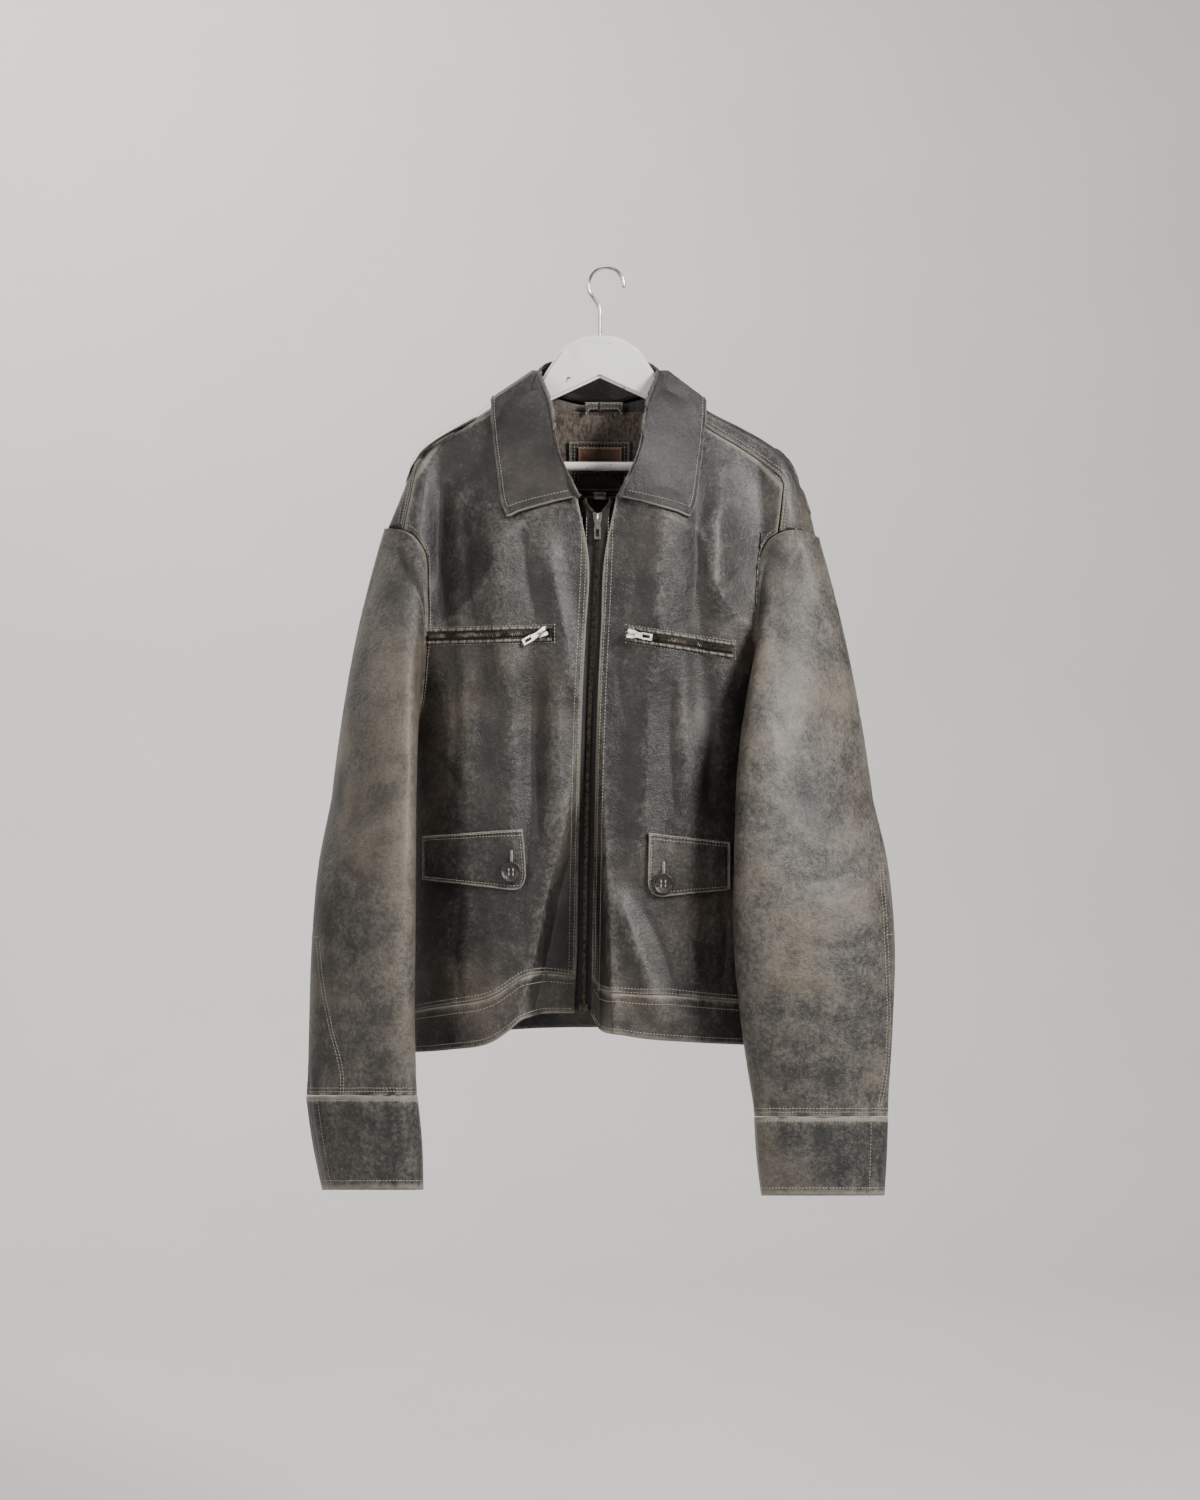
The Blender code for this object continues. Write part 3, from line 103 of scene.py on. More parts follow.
hemLeft = ((-0.0155, -0.7835), (-0.0063, -0.7990), (0.0200, -0.8053), (0.0987, -0.8127), (0.1460, -0.8148),
            (0.2037, -0.8180))
hemBack = ((-0.2137, -0.8210), (-0.12, -0.8010), (-0.02, -0.7960), (0.08, -0.8000), (0.2037, -0.8160))
bandHeight = 0.040
sideHeight = 0.56
armholeFrontRight = ((-0.207, -0.500), (-0.196, -0.472), (-0.188, -0.410), (-0.186, -0.340),
                       (-0.1925, -0.2900), (-0.2037, -0.2775), (-0.2135, -0.2735))
armholeFrontLeft = ((0.184, -0.500), (0.171, -0.468), (0.160, -0.410), (0.157, -0.340), (0.1638, -0.2939),
                      (0.1701, -0.2834), (0.1806, -0.2765))
armholeTopRight = ((-0.2135, -0.2735), (-0.2215, -0.2722), (-0.229, -0.272))
armholeTopLeft = ((0.1806, -0.2765), (0.1838, -0.2750), (0.2037, -0.2745), (0.2205, -0.282))
armholeBackRight = ((-0.207, -0.500), (-0.214, -0.470), (-0.220, -0.420), (-0.223, -0.350), (-0.226, -0.295),
                      (-0.229, -0.272))
armholeBackLeft = ((0.184, -0.500), (0.188, -0.470), (0.192, -0.420), (0.200, -0.350), (0.212, -0.300),
                     (0.2205, -0.282))
neckRight = ((-0.0300, -0.2404), (-0.052, -0.195), (-0.072, -0.140), (-0.078, -0.1185))
neckLeft = ((0.0110, -0.2372), (0.036, -0.195), (0.060, -0.150), (0.068, -0.138))
shoulderSeamRight = ((-0.078, -0.1185), (-0.128, -0.1535), (-0.1974, -0.2026), (-0.2048, -0.2320),
                       (-0.2135, -0.2735))
shoulderSeamLeft = ((0.068, -0.138), (0.110, -0.1690), (0.1418, -0.1879), (0.1659, -0.2047), (0.1859, -0.2236),
                      (0.1850, -0.2400), (0.1806, -0.2765))
neckBack = ((-0.078, -0.117), (-0.062, -0.131), (-0.035, -0.141), (-0.0063, -0.144), (0.022, -0.141),
             (0.050, -0.131), (0.0655, -0.117))
sleeveRight = (
    (-0.272, -0.2310, -0.1900, 0.000, 0.040, 0.010),
    (-0.320, -0.2440, -0.1905, -0.008, 0.048, 0.016),
    (-0.390, -0.2590, -0.1935, -0.018, 0.056, 0.026),
    (-0.460, -0.2735, -0.1965, -0.030, 0.056, 0.036),
    (-0.555, -0.2885, -0.1990, -0.050, 0.050, 0.042),
    (-0.620, -0.3015, -0.1993, -0.066, 0.050, 0.040),
    (-0.700, -0.3090, -0.1998, -0.080, 0.048, 0.034),
    (-0.790, -0.3122, -0.2004, -0.088, 0.044, 0.028),
    (-0.868, -0.3138, -0.1985, -0.090, 0.040, 0.020),
)
cuffRight = (
    (-0.871, -0.3136, -0.1984, -0.090, 0.040, 0.020),
    (-0.918, -0.3060, -0.1950, -0.089, 0.038, 0.016),
    (-0.967, -0.2972, -0.1925, -0.088, 0.037, 0.014),
)
sleeveLeft = (
    (-0.272, 0.2190, 0.1640, 0.000, 0.040, 0.010),
    (-0.320, 0.2310, 0.1570, -0.012, 0.046, 0.016),
    (-0.390, 0.2478, 0.1455, -0.026, 0.054, 0.024),
    (-0.460, 0.2625, 0.1395, -0.044, 0.052, 0.032),
    (-0.555, 0.2805, 0.1360, -0.066, 0.047, 0.034),
    (-0.620, 0.2955, 0.1342, -0.080, 0.047, 0.030),
    (-0.700, 0.3035, 0.1336, -0.090, 0.046, 0.022),
    (-0.790, 0.3018, 0.1412, -0.094, 0.041, 0.014),
    (-0.890, 0.2955, 0.1562, -0.094, 0.035, 0.008),
)
cuffLeft = (
    (-0.893, 0.2950, 0.1567, -0.094, 0.034, 0.008),
    (-0.935, 0.2925, 0.1605, -0.093, 0.032, 0.006),
    (-0.973, 0.2915, 0.1640, -0.092, 0.031, 0.004),
)
sleevePower = 0.86
underarmTurn = {"right": math.radians(226), "left": math.radians(254)}
collarSeam = ((-0.0300, -0.0600, -0.2410), (-0.050, -0.054, -0.200), (-0.074, -0.026, -0.144),
               (-0.0795, 0.002, -0.1120), (-0.064, 0.0185, -0.1270), (-0.0063, 0.0260, -0.1400))
collarRoll = ((-0.0265, -0.0680, -0.2395), (-0.0470, -0.0640, -0.195), (-0.0570, -0.0420, -0.142),
               (-0.0680, -0.0040, -0.1060), (-0.0590, 0.0175, -0.0990), (-0.0063, 0.0300, -0.0975))
collarEdge = ((-0.1090, -0.0600, -0.2590), (-0.1140, -0.0400, -0.215), (-0.1190, -0.0200, -0.172),
               (-0.1200, -0.0010, -0.1365), (-0.1040, 0.0270, -0.1500), (-0.0063, 0.0420, -0.1660))
collarLeftShift = 0.0030
leafClearance = 0.0062
zipTopZ = -0.2420
zipSplitZ = -0.2689
zipBottomZ = -0.7790
zipHalf = 0.0078
chestZipRight = ((-0.1870, -0.3858), (-0.0570, -0.3826))
chestZipLeft = ((0.0240, -0.3827), (0.1330, -0.4004))
flapRight = ((-0.1900, -0.5958), (-0.0893, -0.5880), (-0.0830, -0.6545), (-0.1900, -0.6412))
flapLeft = ((0.0441, -0.5922), (0.1290, -0.6021), (0.1290, -0.6517), (0.0431, -0.6610))
buttonRight = (-0.0992, -0.6331)
buttonLeft = (0.0599, -0.6447)
labelFrame = (-0.0399, 0.0263, -0.2410, -0.1805)
labelPlate = (-0.0305, 0.0179, -0.2030, -0.1862)
sewnLabel = (-0.0326, 0.0168, -0.2335, -0.2115)
sizeTag = (-0.0137, -0.0010, -0.2420, -0.2345)
fronts = {
    "right": {"hem": hemRight, "neck": neckRight, "shoulder": shoulderSeamRight,
              "armhole": armholeFrontRight, "sign": -1},
    "left": {"hem": hemLeft, "neck": neckLeft, "shoulder": shoulderSeamLeft,
             "armhole": armholeFrontLeft, "sign": 1},
}


def placed(points):
    # Front-view points (x, y, z) moved along their sight lines to the depth y.
    points = np.asarray(points, float)
    scale = 1.0 + points[..., 1] / eyeDistance
    x = eyeX + (points[..., 0] - eyeX) * scale
    z = eyeZ + (points[..., 2] - eyeZ) * scale
    return np.stack([x, points[..., 1], z], -1)


def seen(points):
    # Front-view points (x, y, z) of points in space.
    scale = 1.0 + points[..., 1] / eyeDistance
    x = eyeX + (points[..., 0] - eyeX) / scale
    z = eyeZ + (points[..., 2] - eyeZ) / scale
    return np.stack([x, points[..., 1], z], -1)


def valueAt(table, z):
    # Smooth value of a (height, value) table at z.
    heights = np.array([row[0] for row in table], float)
    values = np.array([row[1] for row in table], float)
    slopes = np.gradient(values, heights)
    z = np.clip(z, heights[0], heights[-1])
    i = np.clip(np.searchsorted(heights, z) - 1, 0, len(heights) - 2)
    span = heights[i + 1] - heights[i]
    t = (z - heights[i]) / span
    low = (2 * t**3 - 3 * t**2 + 1) * values[i] + (t**3 - 2 * t**2 + t) * span * slopes[i]
    return low + (3 * t**2 - 2 * t**3) * values[i + 1] + (t**3 - t**2) * span * slopes[i + 1]


def along(points, t, smooth=True):
    # Points at the shares t of the length of a path through the given points.
    points = np.asarray(points, float)
    steps = np.linalg.norm(np.diff(points, axis=0), axis=1)
    at = np.concatenate([[0.0], np.cumsum(steps)]) / steps.sum()
    t = np.asarray(t, float)
    if not smooth or len(points) < 3:
        return np.stack([np.interp(t, at, points[:, k]) for k in range(points.shape[1])], -1)
    columns = [valueAt(list(zip(at, points[:, k])), t) for k in range(points.shape[1])]
    return np.stack(columns, -1)


def smoothStep(t):
    t = np.clip(t, 0.0, 1.0)
    return t * t * (3 - 2 * t)


def distanceTo(line, x, z):
    # Distance in the front view from (x, z) to a line of points.
    best = np.full(np.shape(x), 9.0)
    for (ax, az), (bx, bz) in zip(line, line[1:]):
        length = max((bx - ax) ** 2 + (bz - az) ** 2, 1e-12)
        t = np.clip(((x - ax) * (bx - ax) + (z - az) * (bz - az)) / length, 0.0, 1.0)
        best = np.minimum(best, np.hypot(x - ax - t * (bx - ax), z - az - t * (bz - az)))
    return best


def foldsAt(folds, x, z):
    total = np.zeros(np.shape(x))
    for ax, az, bx, bz, width, height in folds:
        t = np.clip((z - az) / (bz - az), -0.4, 1.4)
        centre = ax + t * (bx - ax)
        fade = smoothStep((t + 0.25) / 0.35) * smoothStep((1.25 - t) / 0.35)
        total = total + height * fade * np.exp(-(((x - centre) / width) ** 2))
    return total


def sideY(z):
    return 0.012 * smoothStep((-0.24 - z) / 0.25)


def depthUnderRidge(x, distance, depth):
    # Depth reached at a distance below the shoulder ridge: thin over the hanger, full past its ends.
    near = np.clip(distance / ridgeRound, 0.0, 1.0)
    grown = np.minimum(smoothStep(0.5 * distance / chestDrop + 0.02) * 2, 1.0)
    thin = ridgeHalf * np.sqrt(1 - (1 - near) ** 2) + (depth - ridgeHalf) * grown
    far = np.clip(distance / 0.055, 0.0, 1.0)
    full = depth * np.sqrt(1 - (1 - far) ** 2)
    end = smoothStep((np.abs(x - eyeX) - 0.165) / 0.045)
    return thin * (1 - end) + full * end


def lens(x, z, rightSide, leftSide, power):
    # Share of the depth left by the closing of the section towards its sides.
    edge = np.where(x < eyeX, valueAt(rightSide, z), valueAt(leftSide, z))
    share = np.clip((x - eyeX) / (edge - eyeX), 0.0, 1.0)
    return np.sqrt(np.clip(1 - share**power, 0.0, 1.0))


def ridgeDistance(x, z):
    return np.minimum(distanceTo(ridgeRight, x, z), distanceTo(ridgeLeft, x, z))


def frontY(x, z):
    # Depth of the front's outer face at a point of the front view.
    x = np.asarray(x, float)
    z = np.asarray(z, float)
    close = lens(x, z, frontSideRight, frontSideLeft, frontPower)
    distance = ridgeDistance(x, z)
    full = valueAt(frontDepth, z)
    folds = foldsAt(frontFolds, x, z) * smoothStep(distance / 0.06)
    lobe = sideY(z) - sideShift - (depthUnderRidge(x, distance, full) + folds) * close
    valley = -valueAt(zipDepth, z)
    fromRight = smoothStep((x - valueAt(lobeRight, z)) / stepWidth)
    fromLeft = smoothStep((valueAt(lobeLeft, z) + 0.004 - x) / stepWidth + 0.35)
    lane = fromRight * fromLeft * smoothStep((-0.36 - z) / 0.12)
    neck = smoothStep((z + 0.42) / 0.12) * np.exp(-(((x - valueAt(zipLine, z)) / 0.045) ** 2))
    neck = neck * smoothStep(distance / 0.08)
    lobe = lobe + neck * (valley - lobe) * 0.85
    return lobe + lane * (valley - lobe)


def backY(x, z):
    # Depth of the back's outer face.
    x = np.asarray(x, float)
    z = np.asarray(z, float)
    close = lens(x, z, backSideRight, backSideLeft, backPower)
    distance = ridgeDistance(x, z)
    full = valueAt(backDepth, z)
    folds = foldsAt(backFolds, x, z) * smoothStep(distance / 0.06)
    return sideY(z) + sideShift + (depthUnderRidge(x, distance, full) + folds) * close


def coons(bottom, topRow, start, end, across, up):
    # Grid of front-view points inside three edges and a given top row; up holds the shares of the rows.
    u = across[None, :, None]
    v = up[:, None, None]
    low = along(bottom, across)[None]
    high = topRow[None]
    left = along(start, up)[:, None]
    right = along(end, up)[:, None]
    corners = (1 - u) * (1 - v) * low[:, :1] + u * (1 - v) * low[:, -1:]
    corners = corners + (1 - u) * v * high[:, :1] + u * v * high[:, -1:]
    return (1 - v) * low + v * high + (1 - u) * left + u * right - corners


def gridFaces(rows, columns, flip=False, ring=False):
    faces = []
    last = columns if ring else columns - 1
    for r in range(rows - 1):
        for c in range(last):
            n = (c + 1) % columns
            quad = (r * columns + c, r * columns + n, (r + 1) * columns + n, (r + 1) * columns + c)
            faces.append(quad[::-1] if flip else quad)
    return faces


def joined(*paths):
    # One path from several that meet end to end.
    whole = list(paths[0])
    for path in paths[1:]:
        whole += list(path[1:])
    return tuple(whole)


def zipEdgeLine(sign, low, high, count=9):
    heights = np.linspace(low, high, count)
    return [(float(valueAt(zipLine, z)) + sign * zipHalf, float(z)) for z in heights]


def sideSeam(corner, table):
    # Side seam from a hem corner up to the underarm, on the line that the section closes towards.
    heights = [*np.linspace(corner[1], underarmZ, 6)[1:-1], underarmZ]
    return [corner, *[(float(valueAt(table, z)), float(z)) for z in heights]]


def withDepth(flat, depth):
    return np.stack([flat[..., 0], depth(flat[..., 0], flat[..., 1]), flat[..., 1]], -1)


def bandShare():
    return bandHeight / sideHeight


def surfaceFrame(x, z, depth):
    # Point in space on a surface at (x, z) of the front view, with its across, up and outward directions.
    corners = ((x, z), (x + normalStep, z), (x, z + normalStep))
    here, right, over = (placed(withDepth(np.array(p), depth)) for p in corners)
    across = (right - here) / np.linalg.norm(right - here)
    over = over - here
    out = np.cross(across, over)
    out = out / np.linalg.norm(out)
    return here, across, np.cross(out, across), out


def quadGrid(corners, columns, rows):
    # Grid inside four corners: both ends of the upper edge, then of the lower one from its far end.
    a, b, c, d = (np.array(p, float) for p in corners)
    u = np.linspace(0, 1, columns)[None, :, None]
    v = np.linspace(0, 1, rows)[:, None, None]
    return (1 - v) * ((1 - u) * a + u * b) + v * ((1 - u) * d + u * c)


def stripGrid(line, halfWidth, columns, rows=2):
    # Grid along a straight front-view line, halfWidth to each side of it.
    a, b = np.array(line[0]), np.array(line[1])
    direction = (b - a) / np.linalg.norm(b - a)
    side = np.array([-direction[1], direction[0]])
    if side[1] < 0:
        side = -side
    return quadGrid((a + side * halfWidth, b + side * halfWidth, b - side * halfWidth, a - side * halfWidth),
                     columns, rows)


def collarSections(points):
    # Stations from the right front end around the back of the neck to the left front end.
    left = [(2 * eyeX - x - collarLeftShift, y, z) for x, y, z in points[-2::-1]]
    return [*points, *left]


def overShoulder(row):
    # Points of the leaf kept clear of the shoulder: above its ridge, in front of it or behind it.
    right = np.array(ridgeRight[::-1])
    left = np.array(ridgeLeft)
    ridge = np.interp(row[:, 0], np.concatenate([right[:, 0], left[:, 0]]),
                      np.concatenate([right[:, 1], left[:, 1]]))
    away = np.abs(row[:, 1])
    row[:, 2] = np.where(away < 0.013, np.maximum(row[:, 2], ridge + 0.0112 - 0.3 * away), row[:, 2])
    below = smoothStep((ridge - row[:, 2]) / 0.004)
    overFront = frontY(row[:, 0], row[:, 2]) - leafClearance
    overBack = backY(row[:, 0], row[:, 2]) + leafClearance
    pushed = np.where(row[:, 1] < 0.0, np.minimum(row[:, 1], overFront), np.maximum(row[:, 1], overBack))
    row[:, 1] = row[:, 1] + (pushed - row[:, 1]) * below
    return row


def rowAt(table, z):
    return [z] + [float(valueAt([(row[0], row[k]) for row in table[::-1]], z)) for k in range(1, 6)]


def ringAt(row, count, side):
    # One closed section of a sleeve, from its outer edge over the front to the inner edge and the back.
    z, outer, inner, middle, halfDepth, twist = row
    half = count // 2
    under = underarmTurn[side]
    front = np.linspace(0, under, half, endpoint=False)
    turn = np.concatenate([front, np.linspace(under, 2 * math.pi, count - half, endpoint=False)])
    across = np.sign(np.cos(turn)) * np.abs(np.cos(turn)) ** sleevePower
    deep = np.sign(np.sin(turn)) * np.abs(np.sin(turn)) ** sleevePower
    x = (outer + inner) / 2 + (outer - inner) / 2 * across
    y = middle - halfDepth * deep + twist * across
    return placed(np.stack([x, y, np.full(count, z)], -1))


def beforeFront(points):
    # Sleeve points kept in front of the body's front.
    view = seen(points)
    view[:, 1] = np.minimum(view[:, 1], frontY(view[:, 0], view[:, 2]) - 0.0052)
    return placed(view)

capEnd = -0.555


def loopPoints(side, count):
    # The armhole as a closed ring in space: top, front, underarm, back.
    names = {
        "right": (armholeFrontRight, armholeTopRight, armholeBackRight),
        "left": (armholeFrontLeft, armholeTopLeft, armholeBackLeft),
    }
    front, top, back = names[side]
    path = joined(top[::-1], front[::-1])
    half = count // 2
    fore = along(path, np.linspace(0, 1, half + 1))
    aft = along(back, np.linspace(0, 1, count - half + 1))
    fore = placed(withDepth(fore, frontY))
    aft = placed(withDepth(aft, backY))
    return np.concatenate([fore[:-1], aft[:-1]])


# Creases in the front view: points, half-width, height; a minus is a valley
frontCreases = (
    (((-0.125, -0.255), (-0.112, -0.330), (-0.118, -0.400)), 0.0075, 0.0050),
    (((-0.172, -0.225), (-0.176, -0.300), (-0.166, -0.390)), 0.0045, -0.0060),
    (((-0.150, -0.240), (-0.146, -0.320), (-0.139, -0.385)), 0.0035, -0.0034),
    (((-0.064, -0.288), (-0.052, -0.345), (-0.036, -0.410)), 0.0065, 0.0045),
    (((-0.088, -0.270), (-0.082, -0.330), (-0.070, -0.378)), 0.0040, -0.0036),
    (((-0.180, -0.300), (-0.150, -0.318), (-0.118, -0.345)), 0.0034, -0.0026),
    (((-0.184, -0.350), (-0.160, -0.358), (-0.132, -0.374)), 0.0030, -0.0020),
    (((-0.104, -0.405), (-0.101, -0.470), (-0.106, -0.560)), 0.0070, 0.0042),
    (((-0.128, -0.395), (-0.131, -0.470), (-0.126, -0.545)), 0.0048, -0.0044),
    (((-0.160, -0.400), (-0.156, -0.480), (-0.162, -0.570)), 0.0042, -0.0040),
    (((-0.048, -0.400), (-0.050, -0.480), (-0.045, -0.590)), 0.0060, 0.0046),
    (((-0.076, -0.405), (-0.078, -0.500), (-0.070, -0.600)), 0.0052, -0.0050),
    (((-0.190, -0.500), (-0.168, -0.520), (-0.146, -0.556)), 0.0034, -0.0030),
    (((-0.080, -0.600), (-0.086, -0.680), (-0.079, -0.760)), 0.0050, -0.0036),
    (((-0.118, -0.640), (-0.121, -0.700), (-0.116, -0.775)), 0.0055, 0.0034),
    (((-0.152, -0.655), (-0.158, -0.720), (-0.150, -0.790)), 0.0046, -0.0038),
    (((-0.062, -0.690), (-0.078, -0.735), (-0.104, -0.778)), 0.0040, 0.0030),
    (((0.058, -0.245), (0.052, -0.320), (0.056, -0.390)), 0.0070, 0.0046),
    (((0.122, -0.200), (0.117, -0.260), (0.120, -0.330)), 0.0060, 0.0040),
    (((0.092, -0.235), (0.096, -0.310), (0.088, -0.375)), 0.0045, -0.0052),
    (((0.030, -0.290), (0.034, -0.330), (0.028, -0.372)), 0.0036, -0.0030),
    (((0.150, -0.310), (0.128, -0.330), (0.104, -0.360)), 0.0032, -0.0026),
    (((0.156, -0.360), (0.136, -0.366), (0.112, -0.384)), 0.0028, -0.0018),
    (((0.042, -0.420), (0.044, -0.500), (0.038, -0.585)), 0.0062, 0.0044),
    (((0.070, -0.415), (0.067, -0.500), (0.073, -0.580)), 0.0046, -0.0048),
    (((0.084, -0.430), (0.082, -0.480), (0.086, -0.545)), 0.0050, 0.0030),
    (((0.108, -0.410), (0.112, -0.480), (0.106, -0.570)), 0.0048, -0.0042),
    (((0.014, -0.660), (0.034, -0.715), (0.058, -0.772)), 0.0058, 0.0050),
    (((0.036, -0.668), (0.056, -0.705), (0.074, -0.760)), 0.0036, -0.0034),
    (((0.096, -0.655), (0.092, -0.720), (0.098, -0.790)), 0.0046, 0.0034),
    (((0.122, -0.650), (0.126, -0.710), (0.118, -0.785)), 0.0042, -0.0036),
    (((0.010, -0.400), (0.014, -0.440), (0.022, -0.480)), 0.0032, -0.0026),
    (((0.168, -0.480), (0.146, -0.505), (0.126, -0.548)), 0.0036, -0.0032),
)
backCreases = (
    (((-0.170, -0.270), (-0.150, -0.380), (-0.156, -0.500)), 0.0080, 0.0050),
    (((-0.128, -0.240), (-0.120, -0.330), (-0.128, -0.440)), 0.0050, -0.0048),
    (((-0.090, -0.260), (-0.078, -0.400), (-0.084, -0.540)), 0.0075, 0.0042),
    (((-0.040, -0.240), (-0.050, -0.380), (-0.040, -0.520)), 0.0055, -0.0046),
    (((0.020, -0.250), (0.026, -0.380), (0.014, -0.560)), 0.0080, 0.0046),
    (((0.062, -0.250), (0.058, -0.360), (0.066, -0.480)), 0.0050, -0.0048),
    (((0.108, -0.230), (0.112, -0.350), (0.100, -0.520)), 0.0072, 0.0044),
    (((0.156, -0.280), (0.146, -0.380), (0.152, -0.500)), 0.0050, -0.0050),
    (((-0.190, -0.500), (-0.130, -0.530), (-0.070, -0.520)), 0.0050, -0.0034),
    (((0.170, -0.500), (0.110, -0.528), (0.050, -0.516)), 0.0050, -0.0034),
    (((-0.120, -0.600), (-0.112, -0.700), (-0.122, -0.780)), 0.0070, 0.0046),
    (((-0.060, -0.580), (-0.066, -0.690), (-0.056, -0.780)), 0.0050, -0.0042),
    (((0.010, -0.620), (0.004, -0.700), (0.012, -0.780)), 0.0066, 0.0040),
    (((0.080, -0.590), (0.088, -0.690), (0.078, -0.780)), 0.0052, -0.0044),
    (((0.140, -0.600), (0.132, -0.700), (0.142, -0.780)), 0.0060, 0.0040),
)
# Creases of the sleeves, by the side of the sleeve that they lie on
sleeveCreases = {
    "right": (
        (((-0.238, -0.310), (-0.248, -0.400), (-0.236, -0.500)), 0.0080, 0.0046),
        (((-0.212, -0.300), (-0.224, -0.380), (-0.214, -0.470)), 0.0050, -0.0044),
        (((-0.200, -0.430), (-0.232, -0.462), (-0.262, -0.500)), 0.0044, -0.0040),
        (((-0.202, -0.500), (-0.226, -0.548), (-0.266, -0.588)), 0.0048, -0.0046),
        (((-0.204, -0.560), (-0.240, -0.590), (-0.286, -0.630)), 0.0058, 0.0044),
        (((-0.300, -0.600), (-0.262, -0.640), (-0.216, -0.650)), 0.0040, -0.0046),
        (((-0.304, -0.655), (-0.268, -0.672), (-0.214, -0.664)), 0.0056, 0.0040),
        (((-0.302, -0.700), (-0.262, -0.712), (-0.206, -0.692)), 0.0042, -0.0046),
        (((-0.296, -0.742), (-0.254, -0.744), (-0.212, -0.738)), 0.0058, 0.0038),
        (((-0.305, -0.780), (-0.262, -0.792), (-0.210, -0.776)), 0.0040, -0.0040),
        (((-0.290, -0.826), (-0.250, -0.816), (-0.206, -0.830)), 0.0048, 0.0030),
        (((-0.270, -0.868), (-0.266, -0.842), (-0.268, -0.812)), 0.0030, -0.0026),
        (((-0.236, -0.868), (-0.238, -0.846), (-0.232, -0.818)), 0.0030, -0.0024),
    ),
    "left": (
        (((0.205, -0.310), (0.218, -0.400), (0.206, -0.500)), 0.0078, 0.0046),
        (((0.184, -0.300), (0.180, -0.380), (0.192, -0.470)), 0.0050, -0.0044),
        (((0.150, -0.440), (0.178, -0.470), (0.214, -0.520)), 0.0044, -0.0040),
        (((0.240, -0.430), (0.222, -0.490), (0.232, -0.560)), 0.0056, -0.0042),
        (((0.142, -0.540), (0.182, -0.566), (0.236, -0.618)), 0.0056, 0.0044),
        (((0.288, -0.590), (0.246, -0.640), (0.180, -0.642)), 0.0042, -0.0046),
        (((0.296, -0.650), (0.240, -0.668), (0.166, -0.660)), 0.0056, 0.0042),
        (((0.298, -0.700), (0.240, -0.716), (0.150, -0.690)), 0.0042, -0.0046),
        (((0.292, -0.740), (0.236, -0.744), (0.160, -0.742)), 0.0056, 0.0038),
        (((0.296, -0.786), (0.236, -0.790), (0.152, -0.780)), 0.0042, -0.0042),
        (((0.286, -0.830), (0.230, -0.826), (0.166, -0.836)), 0.0048, 0.0032),
        (((0.268, -0.890), (0.262, -0.862), (0.266, -0.836)), 0.0030, -0.0028),
        (((0.236, -0.890), (0.238, -0.864), (0.230, -0.840)), 0.0030, -0.0026),
        (((0.196, -0.890), (0.200, -0.866), (0.190, -0.846)), 0.0030, -0.0026),
    ),
}
# What a user would change about the cloth's surface
cloth = {
    "creaseHeight": 0.62,
    "creaseWidth": 1.65,
    "sleeveCreases": 0.50,
    "wrinkleHeight": 0.00024,
    "puckerHeight": 0.0007,
    "wornEdge": 0.0035,
    "seed": 4,
}
rng = np.random.default_rng(cloth["seed"])
waveTurns = rng.uniform(0, math.pi, 26)
waveLengths = rng.uniform(0.009, 0.034, 26)
wavePhases = rng.uniform(0, 6.28, 26)


def creasesAt(creases, x, z):
    total = np.zeros(np.shape(x))
    for line, width, height in creases:
        best = np.full(np.shape(x), 9.0)
        share = np.zeros(np.shape(x))
        count = len(line) - 1
        for k in range(count):
            (ax, az), (bx, bz) = line[k], line[k + 1]
            t = ((x - ax) * (bx - ax) + (z - az) * (bz - az)) / ((bx - ax) ** 2 + (bz - az) ** 2)
            t = np.clip(t, 0.0, 1.0)
            distance = np.hypot(x - ax - t * (bx - ax), z - az - t * (bz - az))
            closer = distance < best
            best = np.where(closer, distance, best)
            share = np.where(closer, (k + t) / count, share)
        width = width * cloth["creaseWidth"]
        taper = np.clip(4 * share * (1 - share), 0.0, 1.0) ** 0.55
        bent = np.exp(-((best / width) ** 1.5)) - 0.35 * np.exp(-((best / (2.6 * width)) ** 2))
        total = total + height * taper * bent * cloth["creaseHeight"]
    return total


def wrinklesAt(x, z):
    total = np.zeros(np.shape(x))
    for turn, length, phase in zip(waveTurns, waveLengths, wavePhases):
        wave = np.sin((x * math.cos(turn) + z * math.sin(turn)) * 2 * math.pi / length + phase)
        total = total + (1 - np.abs(wave)) ** 2 - 0.4
    return total / 5 * cloth["wrinkleHeight"]


def frontOuter(x, z):
    calm = smoothStep(ridgeDistance(x, z) / 0.02)
    return frontY(x, z) - (creasesAt(frontCreases, x, z) + wrinklesAt(x, z)) * calm


def backOuter(x, z):
    calm = smoothStep(ridgeDistance(x, z) / 0.02)
    return backY(x, z) + (creasesAt(backCreases, x, z) + wrinklesAt(x + 0.3, z)) * calm


def gridNormals(points, ring=False):
    if ring:
        across = np.roll(points, -1, 1) - np.roll(points, 1, 1)
    else:
        across = np.gradient(points, axis=1)
    normals = np.cross(across, np.gradient(points, axis=0))
    return normals / np.maximum(np.linalg.norm(normals, axis=-1), 1e-9)[..., None]


def plainMesh(made):
    # The object's evaluated mesh, with its modifiers removed
    shown = made.evaluated_get(bpy.context.evaluated_depsgraph_get())
    mesh = bpy.data.meshes.new_from_object(shown)
    made.modifiers.clear()
    old = made.data
    made.data = mesh
    mesh.name = made.name
    bpy.data.meshes.remove(old)
    return made


